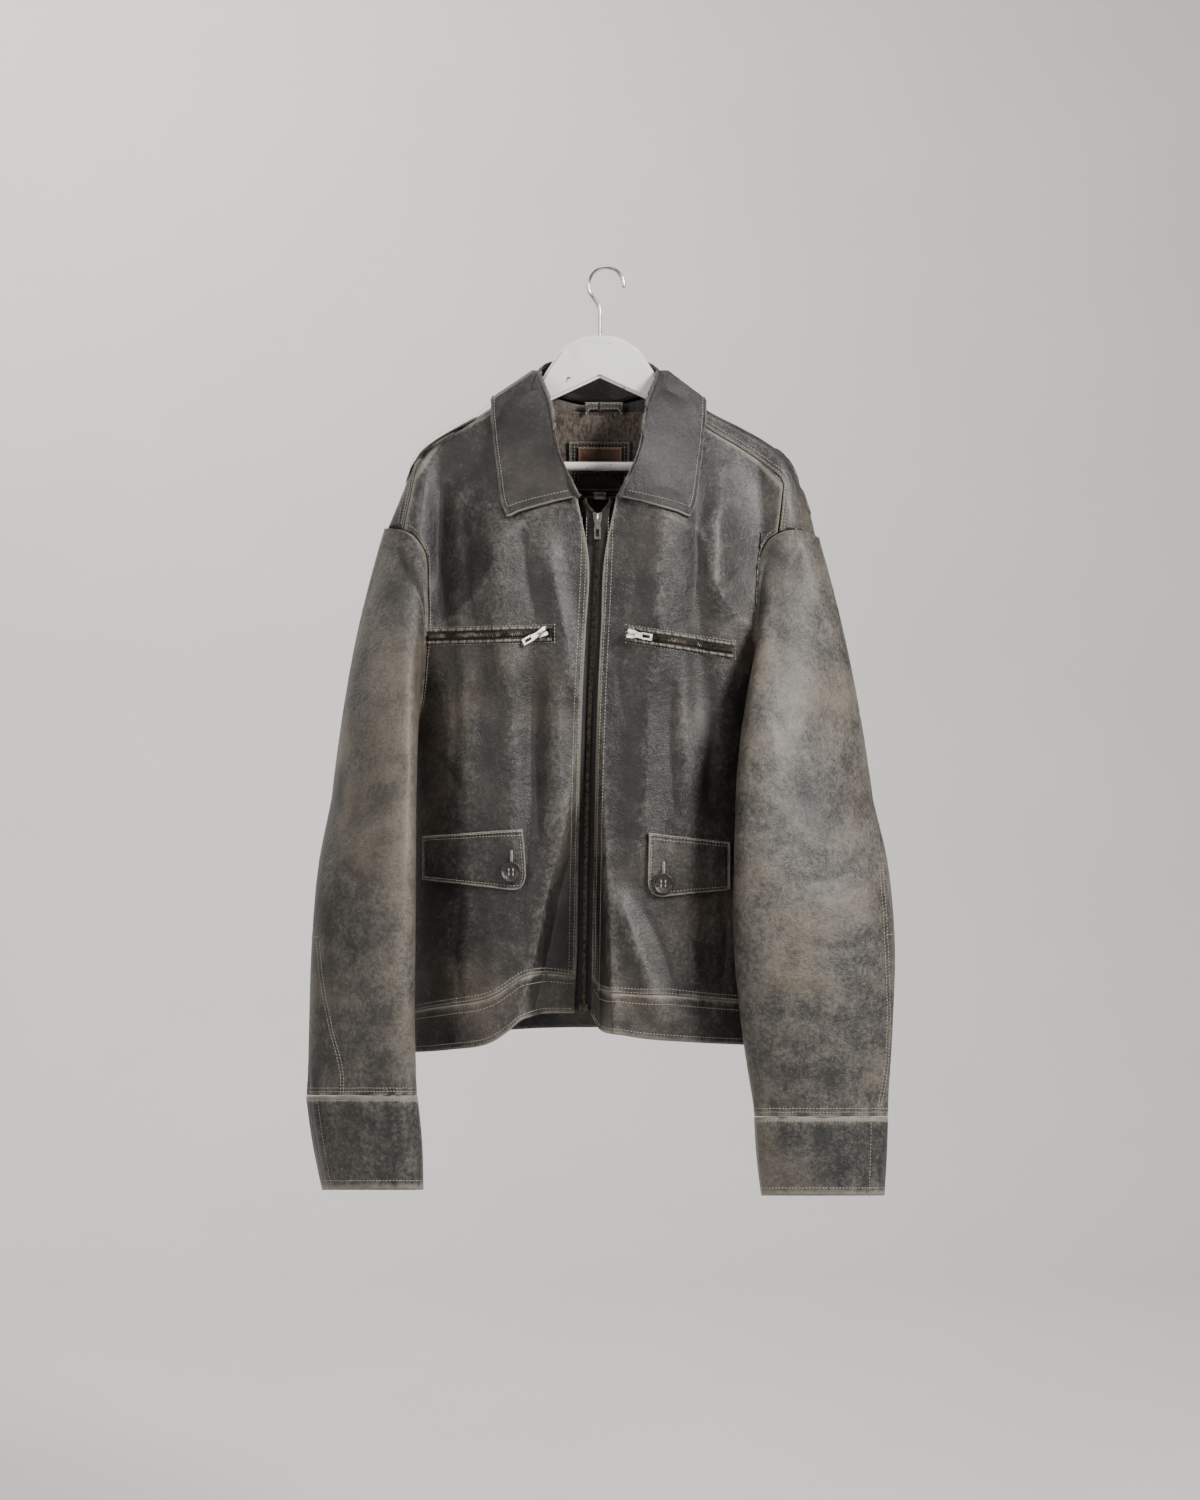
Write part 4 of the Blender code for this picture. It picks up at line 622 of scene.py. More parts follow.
class Link:
    # One output socket, so that maths on a surface's values reads as plain maths
    def __init__(self, tree, socket):
        self.tree = tree
        self.socket = socket

    def node(self, kind, settings=None, inputs=None):
        made = self.tree.nodes.new(kind)
        for key, value in (settings or {}).items():
            setattr(made, key, value)
        for key, value in (inputs or {}).items():
            if isinstance(value, Link):
                self.tree.links.new(value.socket, made.inputs[key])
            else:
                made.inputs[key].default_value = value
        return made

    def maths(self, operation, first, second=0.5, third=0.5):
        made = self.node("ShaderNodeMath", {"operation": operation}, {0: first, 1: second, 2: third})
        return Link(self.tree, made.outputs[0])

    def __add__(self, other):
        return self.maths("ADD", self, other)

    def __mul__(self, other):
        return self.maths("MULTIPLY", self, other)

    def __sub__(self, other):
        return self.maths("SUBTRACT", self, other)

    def __rsub__(self, other):
        return self.maths("SUBTRACT", other, self)

    __radd__ = __add__
    __rmul__ = __mul__

    def above(self, low, high):
        # 0 up to low, 1 from high on
        made = self.node("ShaderNodeMapRange", {"interpolation_type": "SMOOTHSTEP"},
                         {"Value": self, "From Min": low, "From Max": high})
        return Link(self.tree, made.outputs["Result"])

    def mixed(self, low, high):
        made = self.node("ShaderNodeMix", {"data_type": "RGBA"}, {"Factor": self, 6: low, 7: high})
        return Link(self.tree, made.outputs[2])

    def noise(self, scale, detail=3.0, roughness=0.55, stretch=(1, 1, 1)):
        place = self.node("ShaderNodeMapping", None, {"Vector": self, "Scale": stretch})
        made = self.node("ShaderNodeTexNoise", None, {"Vector": Link(self.tree, place.outputs[0]), "Scale": scale,
                                                      "Detail": detail, "Roughness": roughness})
        return Link(self.tree, made.outputs["Fac"])

    def cells(self, scale, feature="F1"):
        made = self.node("ShaderNodeTexVoronoi", {"feature": feature}, {"Vector": self, "Scale": scale})
        return Link(self.tree, made.outputs["Distance"])


def newLook(name, roughness, metallic=0.0):
    found = bpy.data.materials.new(name)
    found.use_nodes = True
    tree = found.node_tree
    shader = tree.nodes["Principled BSDF"]
    shader.inputs["Roughness"].default_value = roughness
    shader.inputs["Metallic"].default_value = metallic
    place = Link(tree, tree.nodes.new("ShaderNodeTexCoord").outputs["Object"])
    return found, tree, shader, place


def attribute(place, name):
    made = place.node("ShaderNodeAttribute", {"attribute_name": name})
    return Link(place.tree, made.outputs["Fac"])


def bumped(place, shader, height, distance, strength=1.0):
    made = place.node("ShaderNodeBump", None, {"Height": height, "Distance": distance, "Strength": strength})
    place.tree.links.new(made.outputs[0], shader.inputs["Normal"])


# Leather colours: deep, middle, rubbed, and how much of each shows
leathers = {
    "body": {"rubs": 0.85, "deep": (0.0055, 0.0052, 0.0048, 1), "middle": (0.029, 0.027, 0.024, 1), "rubbed": (0.165, 0.152, 0.128, 1),
             "brown": (0.080, 0.056, 0.040, 1), "worn": 0.50, "roughness": 0.47, "coat": 0.10},
    "sleeve": {"rubs": 0.62, "deep": (0.014, 0.012, 0.0105, 1), "middle": (0.056, 0.050, 0.042, 1), "rubbed": (0.205, 0.186, 0.155, 1),
               "brown": (0.120, 0.090, 0.064, 1), "worn": 0.56, "roughness": 0.50, "coat": 0.08},
    "band": {"rubs": 0.70, "deep": (0.007, 0.0065, 0.006, 1), "middle": (0.032, 0.029, 0.026, 1), "rubbed": (0.190, 0.172, 0.145, 1),
             "brown": (0.085, 0.062, 0.045, 1), "worn": 0.54, "roughness": 0.50, "coat": 0.08},
    "collar": {"rubs": 0.60, "deep": (0.0045, 0.0044, 0.0042, 1), "middle": (0.019, 0.018, 0.0165, 1), "rubbed": (0.150, 0.142, 0.125, 1),
               "brown": (0.060, 0.048, 0.038, 1), "worn": 0.40, "roughness": 0.54, "coat": 0.03},
}


def leatherLook(name, facts):
    found, tree, shader, place = newLook(name, facts["roughness"])
    cloudy = place.noise(7.0, 3.0, 0.6)
    blotches = place.noise(38.0, 5.0, 0.72)
    flecks = place.noise(230.0, 4.0, 0.8)
    grains = place.noise(620.0, 2.0, 0.6)
    streaks = place.noise(26.0, 4.0, 0.7, (1.0, 1.0, 0.3))
    pits = place.cells(900.0)
    worn = attribute(place, "wear")
    base = (blotches * 0.9 + cloudy * 0.8 + flecks * 0.5).above(0.86, 1.34)
    colour = base.mixed(facts["deep"], facts["middle"])
    colour = (cloudy.above(0.48, 0.70) * 0.6).mixed(colour, facts["brown"])
    lift = worn * 0.55 + blotches * 0.60 + flecks * 1.25 + cloudy * 0.45 + streaks * 0.30
    start = 1.60 - facts["worn"] * 0.5
    rubs = lift.above(start - 0.10, start + 0.62) * facts["rubs"]
    colour = rubs.mixed(colour, facts["rubbed"])
    edges = (worn + flecks * 0.6 - 0.30).above(0.50, 0.95) * 0.8
    colour = edges.mixed(colour, facts["rubbed"])
    pores = (grains * 0.5 + flecks * 0.5).above(0.56, 0.64) * 0.35
    colour = pores.mixed(colour, facts["deep"])
    tree.links.new(colour.socket, shader.inputs["Base Color"])
    rough = facts["roughness"] + rubs * 0.14 + grains * 0.12 - 0.08
    tree.links.new(rough.socket, shader.inputs["Roughness"])
    shader.inputs["Coat Weight"].default_value = facts["coat"]
    shader.inputs["Coat Roughness"].default_value = 0.32
    shader.inputs["Specular IOR Level"].default_value = 0.5
    fine = pits * 0.30 + grains * 0.30 + flecks * 0.8 + blotches * 1.6
    bumped(place, shader, fine, 0.0012, 0.8)
    return found


def clothLook(name, colour, light, threads, roughness=0.85, depth=0.0004):
    found, tree, shader, place = newLook(name, roughness)
    weave = place.noise(threads, 2.0, 0.5, (1.0, 1.0, 0.25)) * 0.6 + place.noise(threads * 0.6, 2.0) * 0.5
    tree.links.new(weave.above(0.42, 0.68).mixed(colour, light).socket, shader.inputs["Base Color"])
    bumped(place, shader, weave, depth, 0.8)
    return found


def metalLook(name, colour, dull, roughness):
    found, tree, shader, place = newLook(name, roughness, 1.0)
    stain = place.noise(260.0, 4.0, 0.65)
    tree.links.new(stain.above(0.42, 0.66).mixed(colour, dull).socket, shader.inputs["Base Color"])
    tree.links.new((roughness - 0.08 + stain * 0.3).socket, shader.inputs["Roughness"])
    bumped(place, shader, stain, 0.0001, 0.4)
    return found


def paintLook(name, chipped):
    found, tree, shader, place = newLook(name, 0.36)
    chips = place.noise(70.0, 4.0, 0.7).above(0.655, 0.685) * chipped
    grime = place.noise(22.0, 4.0, 0.6).above(0.45, 0.8)
    paint = grime.mixed((0.80, 0.80, 0.79, 1), (0.68, 0.665, 0.64, 1))
    wood = place.noise(300.0, 2.0, 0.5, (1.0, 1.0, 0.2)).mixed((0.13, 0.065, 0.028, 1), (0.26, 0.15, 0.075, 1))
    tree.links.new(chips.mixed(paint, wood).socket, shader.inputs["Base Color"])
    tree.links.new((chips * 0.35 + 0.34).socket, shader.inputs["Roughness"])
    bumped(place, shader, place.noise(40.0, 3.0) * 0.5 - chips * 1.0, 0.0005, 0.5)
    return found


looks = {
    **{key: leatherLook(key + "Leather", facts) for key, facts in leathers.items()},
    "facing": clothLook("neckFacing", (0.040, 0.030, 0.024, 1), (0.125, 0.098, 0.078, 1), 420.0),
    "plate": leatherLook("plateLeather", {"rubs": 0.5, "deep": (0.075, 0.030, 0.016, 1), "middle": (0.170, 0.080, 0.044, 1),
                                          "rubbed": (0.30, 0.19, 0.12, 1), "brown": (0.15, 0.070, 0.036, 1),
                                          "worn": 0.35, "roughness": 0.5, "coat": 0.1}),
    "label": clothLook("sewnLabel", (0.030, 0.018, 0.017, 1), (0.070, 0.046, 0.040, 1), 1500.0),
    "tag": clothLook("sizeTag", (0.36, 0.34, 0.31, 1), (0.52, 0.50, 0.46, 1), 1600.0),
    "tape": clothLook("zipTape", (0.006, 0.006, 0.006, 1), (0.026, 0.026, 0.026, 1), 1500.0),
    "thread": clothLook("thread", (0.26, 0.235, 0.19, 1), (0.46, 0.42, 0.35, 1), 2200.0, 0.7),
    "brass": metalLook("antiqueBrass", (0.125, 0.110, 0.082, 1), (0.035, 0.031, 0.024, 1), 0.34),
    "nickel": metalLook("nickel", (0.60, 0.575, 0.53, 1), (0.30, 0.28, 0.25, 1), 0.24),
    "steel": metalLook("steelWire", (0.66, 0.66, 0.65, 1), (0.42, 0.42, 0.41, 1), 0.16),
    "paint": paintLook("chippedPaint", 1.0),
    "horn": leatherLook("buttonHorn", {"rubs": 0.4, "deep": (0.006, 0.004, 0.004, 1), "middle": (0.020, 0.012, 0.011, 1),
                                       "rubbed": (0.055, 0.038, 0.033, 1), "brown": (0.030, 0.016, 0.011, 1),
                                       "worn": 0.30, "roughness": 0.26, "coat": 0.35}),
}
print("materials")


def setValues(mesh, name, values):
    if values is None:
        return
    made = mesh.attributes.new(name, "FLOAT", "POINT")
    made.data.foreach_set("value", np.asarray(values, np.float32).ravel())


def piece(name, verts, faces, look, nodes=(), body="jacket", wall=0.0, wear=None, smooth=True, offset=-1.0):
    # A finished piece in the row frame: a wall of the given thickness if it is open, one plain mesh
    mesh = bpy.data.meshes.new(name)
    mesh.from_pydata(np.asarray(verts, float).reshape(-1, 3).tolist(), [], faces)
    setValues(mesh, "wear", wear)
    mesh.materials.append(looks[look])
    if smooth:
        mesh.shade_smooth()
    made = bpy.data.objects.new(name, mesh)
    bpy.context.collection.objects.link(made)
    if wall:
        thick = made.modifiers.new("wall", "SOLIDIFY")
        thick.thickness = wall
        thick.offset = offset
        thick.use_even_offset = False
        plainMesh(made)
    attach(made, body)
    if nodes:
        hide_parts(*nodes)
    return made


def edgeWear(distance, reach=None):
    reach = reach or cloth["wornEdge"]
    return np.exp(-((distance / reach) ** 2))


def reliefWear(points, ring=False, gain=1.0, normals=None):
    # Higher where the cloth stands out from what surrounds it
    def blurred(values, steps):
        for _ in range(steps):
            padded = np.pad(values, ((1, 1), (0, 0), (0, 0)), mode="edge")
            values = (padded[:-2] + 2 * values + padded[2:]) / 4
            sides = np.concatenate([values[:, -1:], values, values[:, :1]], 1) if ring \
                else np.pad(values, ((0, 0), (1, 1), (0, 0)), mode="edge")
            values = (sides[:, :-2] + 2 * values + sides[:, 2:]) / 4
        return values

    if normals is None:
        normals = gridNormals(points, ring)
        if (normals[..., 1] * (points[..., 1] - 0.01)).sum() < 0:
            normals = -normals
    stand = ((points - blurred(points, 26)) * normals).sum(-1)
    return np.clip(stand / 0.0048 * gain, -0.35, 0.32)


frontShares = {"neck": 5, "shoulder": 11, "fine": 9}
backShares = {"neck": 8, "shoulder": 11, "fine": 5}
ridgeShares = (0.966, 0.986, 0.9945)
panelRows = 18
fineRows = 190


def rowShares(top, rows):
    split = bandShare() + bandGap
    even = np.linspace(split, 0.93, panelRows - len(ridgeShares) - 1)
    shares = np.concatenate([even, ridgeShares, [top]])
    return np.interp(np.linspace(0, len(shares) - 1, rows), np.arange(len(shares)), shares)


def frontFlat(side, up):
    facts = fronts[side]
    fine = frontShares["fine"]
    count = (frontShares["neck"] + frontShares["shoulder"]) * fine + 1
    index = np.linspace(0.0, 1.0, count)
    across = 1 - (1 - index) ** 1.35
    neck = along(facts["neck"], np.linspace(0, 1, frontShares["neck"] * fine + 1))
    shoulder = along(facts["shoulder"], np.linspace(0, 1, frontShares["shoulder"] * fine + 1))
    top = np.concatenate([neck, shoulder[1:]])
    hem = facts["hem"]
    centre = zipEdgeLine(facts["sign"], hem[0][1], facts["neck"][0][1])
    centre[0] = hem[0]
    centre[-1] = facts["neck"][0]
    outer = joined(sideSeam(hem[-1], frontSideRight if side == "right" else frontSideLeft), facts["armhole"])
    return coons(hem, top, centre, outer, across, up)


def makeFront(side):
    facts = fronts[side]
    flip = facts["sign"] < 0
    flat = frontFlat(side, rowShares(0.9985, fineRows))
    points = placed(withDepth(flat, frontOuter))
    rows, columns = flat.shape[:2]
    x, z = flat[..., 0], flat[..., 1]
    edges = [[tuple(p) for p in flat[0]], [tuple(p) for p in flat[:, 0]], [tuple(p) for p in flat[-1][::4]],
             [tuple(p) for p in flat[::5, -1]]]
    near = np.minimum.reduce([distanceTo(edge[::6] + [edge[-1]], x, z) for edge in edges])
    wear = edgeWear(near) * 0.9 + reliefWear(points)
    made = piece(side + "Front", points, gridFaces(rows, columns, flip), "body",
                 [side + "_front"], wall=leather, wear=wear.ravel())
    low = frontFlat(side, np.linspace(0.0, bandShare() - bandGap, 16))

    def bandDepth(bx, bz):
        return frontOuter(bx, bz) - 0.0006

    bandPoints = placed(withDepth(low, bandDepth))
    share = np.linspace(0, 1, 16)[:, None] + 0 * low[..., 0]
    wear = edgeWear(np.minimum(share, 1 - share) * 0.038, 0.0028) + reliefWear(bandPoints, gain=0.8)
    band = piece(side + "HemBand", bandPoints, gridFaces(16, columns, flip), "band",
                 [side + "_hem_band"], wall=0.0022, wear=wear.ravel())
    return flat, low


def makeBack():
    fine = backShares["fine"]
    shoulderCount = backShares["shoulder"] * fine + 1
    ridgeOne = along(ridgeRight[::-1], np.linspace(0, 1, shoulderCount))
    ridgeTwo = along(ridgeLeft, np.linspace(0, 1, shoulderCount))
    neck = along(neckBack, np.linspace(0, 1, backShares["neck"] * fine + 1))
    top = np.concatenate([ridgeOne[:-1], neck, ridgeTwo[1:]])
    even = np.linspace(-1.0, 1.0, len(top))
    share = 0.5 + 0.5 * np.sign(even) * (1 - (1 - np.abs(even)) ** 1.35)
    start = joined(sideSeam(hemBack[0], backSideRight), armholeBackRight)
    end = joined(sideSeam(hemBack[-1], backSideLeft), armholeBackLeft)
    flat = coons(hemBack, top, start, end, share, rowShares(1.0, 150))
    points = placed(withDepth(flat, backOuter))
    rows, columns = flat.shape[:2]
    verts = list(points.reshape(-1, 3))
    faces = gridFaces(rows, columns, True)
    wear = list((reliefWear(points) + edgeWear(ridgeDistance(flat[..., 0], flat[..., 1]), 0.012) * 0.5).ravel())
    last = shoulderCount - 1
    for seam, armTop, first, ridge, outer in (
        (shoulderSeamRight[::-1], armholeTopRight, 0, ridgeOne, 0),
        (shoulderSeamLeft, armholeTopLeft, columns - shoulderCount, ridgeTwo, last),
    ):
        line = along(seam, np.linspace(0, 1, shoulderCount))
        base = [(rows - 1) * columns + first + c for c in range(shoulderCount)]
        for step in np.linspace(0.06, 0.97, 16):
            row = ridge + (line - ridge) * step
            row[outer] = along(armTop[::-1], [step])[0]
            depth = withDepth(row, frontOuter)
            startAt = len(verts)
            verts += list(placed(depth))
            wear += list(np.full(shoulderCount, edgeWear((1 - step) * 0.03) * 0.9 + 0.1))
            here = [startAt + c for c in range(shoulderCount)]
            for c in range(shoulderCount - 1):
                faces.append((base[c + 1], base[c], here[c], here[c + 1]))
            base = here
    made = piece("backPanel", np.array(verts), faces, "body", ["back"], wall=leather, wear=wear)
    low = coons(hemBack, top, start, end, share, np.linspace(0.0, bandShare() - bandGap, 16))
    bandPoints = placed(withDepth(low, lambda bx, bz: backOuter(bx, bz) + 0.0006))
    band = piece("backHemBand", bandPoints, gridFaces(16, columns, True), "band",
                 ["back_hem_band"], wall=0.0022, wear=reliefWear(bandPoints).ravel())


def sleeveCreaseAt(side, view, facing):
    outward = creasesAt(sleeveCreases[side], view[..., 0], view[..., 2])
    behind = creasesAt(sleeveCreases[side], view[..., 0] + 0.012, view[..., 2] + 0.02)
    share = smoothStep(0.5 + 1.6 * facing)
    return (outward * share + behind * (1 - share) * 0.8) * cloth["sleeveCreases"]


def sleeveGrid(side, table):
    fine = 5
    count = 28 * fine
    start = loopPoints(side, count)
    out = -1.0 if side == "right" else 1.0
    rings = [start + np.array([out * 0.0010, 0.0, -0.0006])]
    for t in np.linspace(0, 1, 52)[1:]:
        share = 1 - (1 - t) ** 1.45
        heights = start[:, 2] + (capEnd - start[:, 2]) * t
        ring = np.empty_like(start)
        for k in range(count):
            goal = ringAt(rowAt(table, heights[k]), count, side)[k]
            ring[k] = start[k] + (goal - start[k]) * share
            ring[k, 2] = start[k, 2] + (goal[2] - start[k, 2]) * t
        ring[:, 0] += out * 0.0040 * (1 - t) ** 2
        ring[1:count // 2] = beforeFront(ring[1:count // 2])
        rings.append(ring)
    for height in np.linspace(capEnd, table[-1][0], 84)[1:]:
        rings.append(ringAt(rowAt(table, height), count, side))
    return np.array(rings)


def ringNormals(points, side):
    normals = gridNormals(points, ring=True)
    return normals if side == "right" else -normals


def makeSleeve(side, table, cuffTable):
    rings = sleeveGrid(side, table)
    rows, count = rings.shape[:2]
    out = ringNormals(rings, side)
    middle = rings.mean(1, keepdims=True)
    if ((rings - middle) * out).sum() < 0:
        out = -out
    view = seen(rings)
    calm = smoothStep(np.linspace(0, 1, rows) / 0.06)[:, None]
    turn = np.arange(count) / count * 2 * math.pi
    gathers = np.sin(turn * 19 + 1.3 * np.sin(turn * 3)) * np.exp(-((table[-1][0] - view[..., 2]) / 0.018) ** 2)
    relief = sleeveCreaseAt(side, view, -out[..., 1]) + wrinklesAt(view[..., 0] * 1.0 + view[..., 1], view[..., 2])
    relief = relief * calm + gathers * cloth["puckerHeight"] * 1.5
    rings = rings + out * relief[..., None]
    wear = reliefWear(rings, ring=True, normals=out)
    rowEdge = np.minimum(np.arange(rows), rows - 1 - np.arange(rows))[:, None] * 0.0045
    wear = wear + edgeWear(rowEdge) * 0.8
    first = count // 2
    last = first + 45
    flip = side == "right"
    for name, columns, cut in (
        ("UpperSleeve", list(range(last, count + first + 1)), ((0.30, 0.66), 0.150)),
        ("UnderSleeve", list(range(first, last + 1)), ((0.16, 0.56), 0.050)),
    ):
        picked = rings[:, [c % count for c in columns]].copy()
        tone = wear[:, [c % count for c in columns]].copy()
        for edge, nearby in ((0, 1), (-1, -2)):
            step = picked[:, nearby] - picked[:, edge]
            picked[:, edge] += step / np.linalg.norm(step, axis=1)[:, None] * 0.0003
            for k in range(3):
                tone[:, k if edge == 0 else -1 - k] += 0.5 * math.exp(-k)
        node = side + ("_upper_sleeve" if name == "UpperSleeve" else "_under_sleeve")
        made = piece(side + name, picked, gridFaces(rows, len(columns), flip), "sleeve", [node],
                     wall=leather, wear=tone.ravel())
    heights = np.linspace(cuffTable[0][0] + 0.0024, cuffTable[-1][0], 26)
    cuff = np.array([ringAt(rowAt(cuffTable, z), count, side) for z in heights])
    share = np.linspace(0, 1, 26)[:, None]
    cuffOut = ringNormals(cuff, side)
    if ((cuff - cuff.mean(1, keepdims=True)) * cuffOut).sum() < 0:
        cuffOut = -cuffOut
    pleats = np.sin(turn * 15 + 2.0 * np.sin(turn * 2)) * (0.9 - 0.5 * share) + 0.5 * np.sin(turn * 31 + 0.6)
    swell = 0.0007 + 0.0012 * np.sin(math.pi * share)
    cuff = cuff + cuffOut * (pleats * cloth["puckerHeight"] * 0.8 + swell)[..., None]
    wear = reliefWear(cuff, ring=True, normals=cuffOut) + edgeWear(np.minimum(share, 1 - share) * 0.09, 0.006) * 0.9
    made = piece(side + "Cuff", cuff, gridFaces(26, count, flip, ring=True), "band",
                 [side + "_cuff"], wall=0.0024, wear=wear.ravel())
    return rings, out, cuff, cuffOut


def makeCollar():
    count = 241
    share = np.linspace(0.0, 1.0, count)
    seam = along(collarSections(collarSeam), share)
    roll = along(collarSections(collarRoll), share)
    edge = along(collarSections(collarEdge), share)
    away = np.stack([edge[:, 0] - roll[:, 0], edge[:, 1] - roll[:, 1], 0 * share], -1)
    away = away / np.linalg.norm(away, axis=1)[:, None]
    rows = [seam + (roll - seam) * t for t in np.linspace(0, 0.86, 10)]
    crown = roll + away * 0.0022
    crown[:, 2] += 0.0016
    knee = roll - away * 0.0004
    for t in np.linspace(0, 1, 7):
        bend = (1 - t) ** 2 * rows[9] + 2 * t * (1 - t) * (knee + np.array([0, 0, 0.0022])) + t * t * crown
        rows.append(bend)
    leafRows = 46
    for t in np.linspace(0.0, 1.0, leafRows)[1:]:
        row = crown + (edge - crown) * t
        roundOff = np.exp(-(np.minimum(share, 1 - share) / 0.022) ** 2) * smoothStep((t - 0.7) / 0.3) * 0.0045
        row = row + away * (0.006 * math.sin(math.pi * t)) - away * roundOff[:, None]
        rows.append(overShoulder(row))
    for k in range(17):
        low = rows[k][:, 2] < -0.165
        overFront = frontY(rows[k][:, 0], rows[k][:, 2]) - leafClearance - 0.0002 * k
        rows[k][low, 1] = np.minimum(rows[k][low, 1], overFront[low])
    grid = placed(np.array(rows))
    out = gridNormals(grid)
    leaf = np.clip((np.arange(len(rows)) - 17) / (leafRows - 1), 0, 1)[:, None]
    columns = share[None, :]
    edgeNear = np.minimum.reduce([(1 - leaf) * 0.075 + 0 * columns, columns * 1.05 + 0 * leaf, (1 - columns) * 1.05 + 0 * leaf])
    puff = -0.0009 * np.exp(-((edgeNear - 0.0055) / 0.0022) ** 2) + 0.0005 * np.exp(-((edgeNear - 0.0015) / 0.002) ** 2)
    ripples = 0.0005 * np.sin(columns * 260 + 4 * leaf) * np.exp(-((edgeNear - 0.004) / 0.006) ** 2)
    relief = (puff + ripples) * (leaf > 0) + wrinklesAt(grid[..., 0] + grid[..., 1], grid[..., 2]) * 0.8
    if (out[40, 30] * (grid[40, 30] - grid[5, 30])).sum() < 0:
        out = -out
    grid = grid + out * relief[..., None]
    wear = edgeWear(edgeNear, 0.0022) * 1.3 * (leaf > 0) + reliefWear(grid, gain=0.5, normals=out) \
        + edgeWear((np.arange(len(rows))[:, None] - 14) * 0.001, 0.004) * 0.55
    made = piece("collarLeaf", grid, gridFaces(len(rows), count), "collar", ["collar"], wall=0.0022,
                 wear=wear.ravel())
    return grid, out


# Rows of thread: a stitch's length, thickness and step along the seam
stitching = {"length": 0.0026, "thickness": 0.00066, "step": 0.0034, "seed": 7}


def threadGroup():
    group = bpy.data.node_groups.new("threadRow", "GeometryNodeTree")
    face = group.interface
    face.new_socket("Lines", in_out="INPUT", socket_type="NodeSocketGeometry")
    for name in ("Length", "Thickness", "Step", "Sway"):
        face.new_socket(name, in_out="INPUT", socket_type="NodeSocketFloat")
    face.new_socket("Seed", in_out="INPUT", socket_type="NodeSocketInt")
    face.new_socket("Shape", in_out="INPUT", socket_type="NodeSocketObject")
    face.new_socket("Look", in_out="INPUT", socket_type="NodeSocketMaterial")
    face.new_socket("Row", in_out="OUTPUT", socket_type="NodeSocketGeometry")
    nodes, links = group.nodes, group.links
    given = nodes.new("NodeGroupInput").outputs
    result = nodes.new("NodeGroupOutput")
    curve = nodes.new("GeometryNodeMeshToCurve")
    spaced = nodes.new("GeometryNodeResampleCurve")
    spaced.mode = "LENGTH"
    outward = nodes.new("GeometryNodeInputNamedAttribute")
    outward.data_type = "FLOAT_VECTOR"
    outward.inputs["Name"].default_value = "outward"
    tangent = nodes.new("GeometryNodeInputTangent")
    lay = nodes.new("FunctionNodeAlignRotationToVector")
    lay.axis = "X"
    faceOut = nodes.new("FunctionNodeAlignRotationToVector")
    faceOut.axis = "Z"
    faceOut.pivot_axis = "X"
    size = nodes.new("ShaderNodeCombineXYZ")
    shape = nodes.new("GeometryNodeObjectInfo")
    laid = nodes.new("GeometryNodeInstanceOnPoints")
    sway = nodes.new("FunctionNodeRandomValue")
    sway.data_type = "FLOAT_VECTOR"
    low = nodes.new("ShaderNodeVectorMath")
    low.operation = "SCALE"
    low.inputs[0].default_value = (-1.0, -1.0, -1.0)
    high = nodes.new("ShaderNodeVectorMath")
    high.operation = "SCALE"
    high.inputs[0].default_value = (1.0, 1.0, 1.0)
    turned = nodes.new("GeometryNodeRotateInstances")
    real = nodes.new("GeometryNodeRealizeInstances")
    look = nodes.new("GeometryNodeSetMaterial")
    links.new(given["Lines"], curve.inputs[0])
    links.new(curve.outputs[0], spaced.inputs["Curve"])
    links.new(given["Step"], spaced.inputs["Length"])
    links.new(spaced.outputs[0], laid.inputs["Points"])
    links.new(tangent.outputs[0], lay.inputs["Vector"])
    links.new(lay.outputs[0], faceOut.inputs["Rotation"])
    links.new(outward.outputs[0], faceOut.inputs["Vector"])
    links.new(faceOut.outputs[0], laid.inputs["Rotation"])
    links.new(given["Shape"], shape.inputs["Object"])
    links.new(shape.outputs["Geometry"], laid.inputs["Instance"])
    links.new(given["Length"], size.inputs["X"])
    links.new(given["Thickness"], size.inputs["Y"])
    links.new(given["Thickness"], size.inputs["Z"])
    links.new(size.outputs[0], laid.inputs["Scale"])
    links.new(given["Sway"], low.inputs["Scale"])
    links.new(given["Sway"], high.inputs["Scale"])
    links.new(low.outputs[0], sway.inputs[0])
    links.new(high.outputs[0], sway.inputs[1])
    links.new(given["Seed"], sway.inputs["Seed"])
    links.new(laid.outputs[0], turned.inputs["Instances"])
    links.new(sway.outputs[0], turned.inputs["Rotation"])
    links.new(turned.outputs[0], real.inputs[0])
    links.new(real.outputs[0], look.inputs["Geometry"])
    links.new(given["Look"], look.inputs["Material"])
    links.new(look.outputs[0], result.inputs[0])
    return group


rowGroup = threadGroup()


def unitShape(name, sides, rings):
    # One thread stitch of unit size along X
    verts = [(-0.5, 0, 0)]
    for r in range(rings):
        at = -0.5 + (r + 1) / (rings + 1)
        radius = 0.5 * math.sqrt(max(1 - (2 * at) ** 4, 0.0))
        verts += [(at, radius * math.cos(2 * math.pi * k / sides), radius * math.sin(2 * math.pi * k / sides))
                  for k in range(sides)]
    verts.append((0.5, 0, 0))
    faces = [(0, 1 + (k + 1) % sides, 1 + k) for k in range(sides)]
    for r in range(rings - 1):
        faces += [(1 + r * sides + k, 1 + r * sides + (k + 1) % sides, 1 + (r + 1) * sides + (k + 1) % sides,
                   1 + (r + 1) * sides + k) for k in range(sides)]
    low = 1 + (rings - 1) * sides
    faces += [(low + k, low + (k + 1) % sides, len(verts) - 1) for k in range(sides)]
    mesh = bpy.data.meshes.new(name)
    mesh.from_pydata(verts, [], faces)
    mesh.shade_smooth()
    return bpy.data.objects.new(name, mesh)


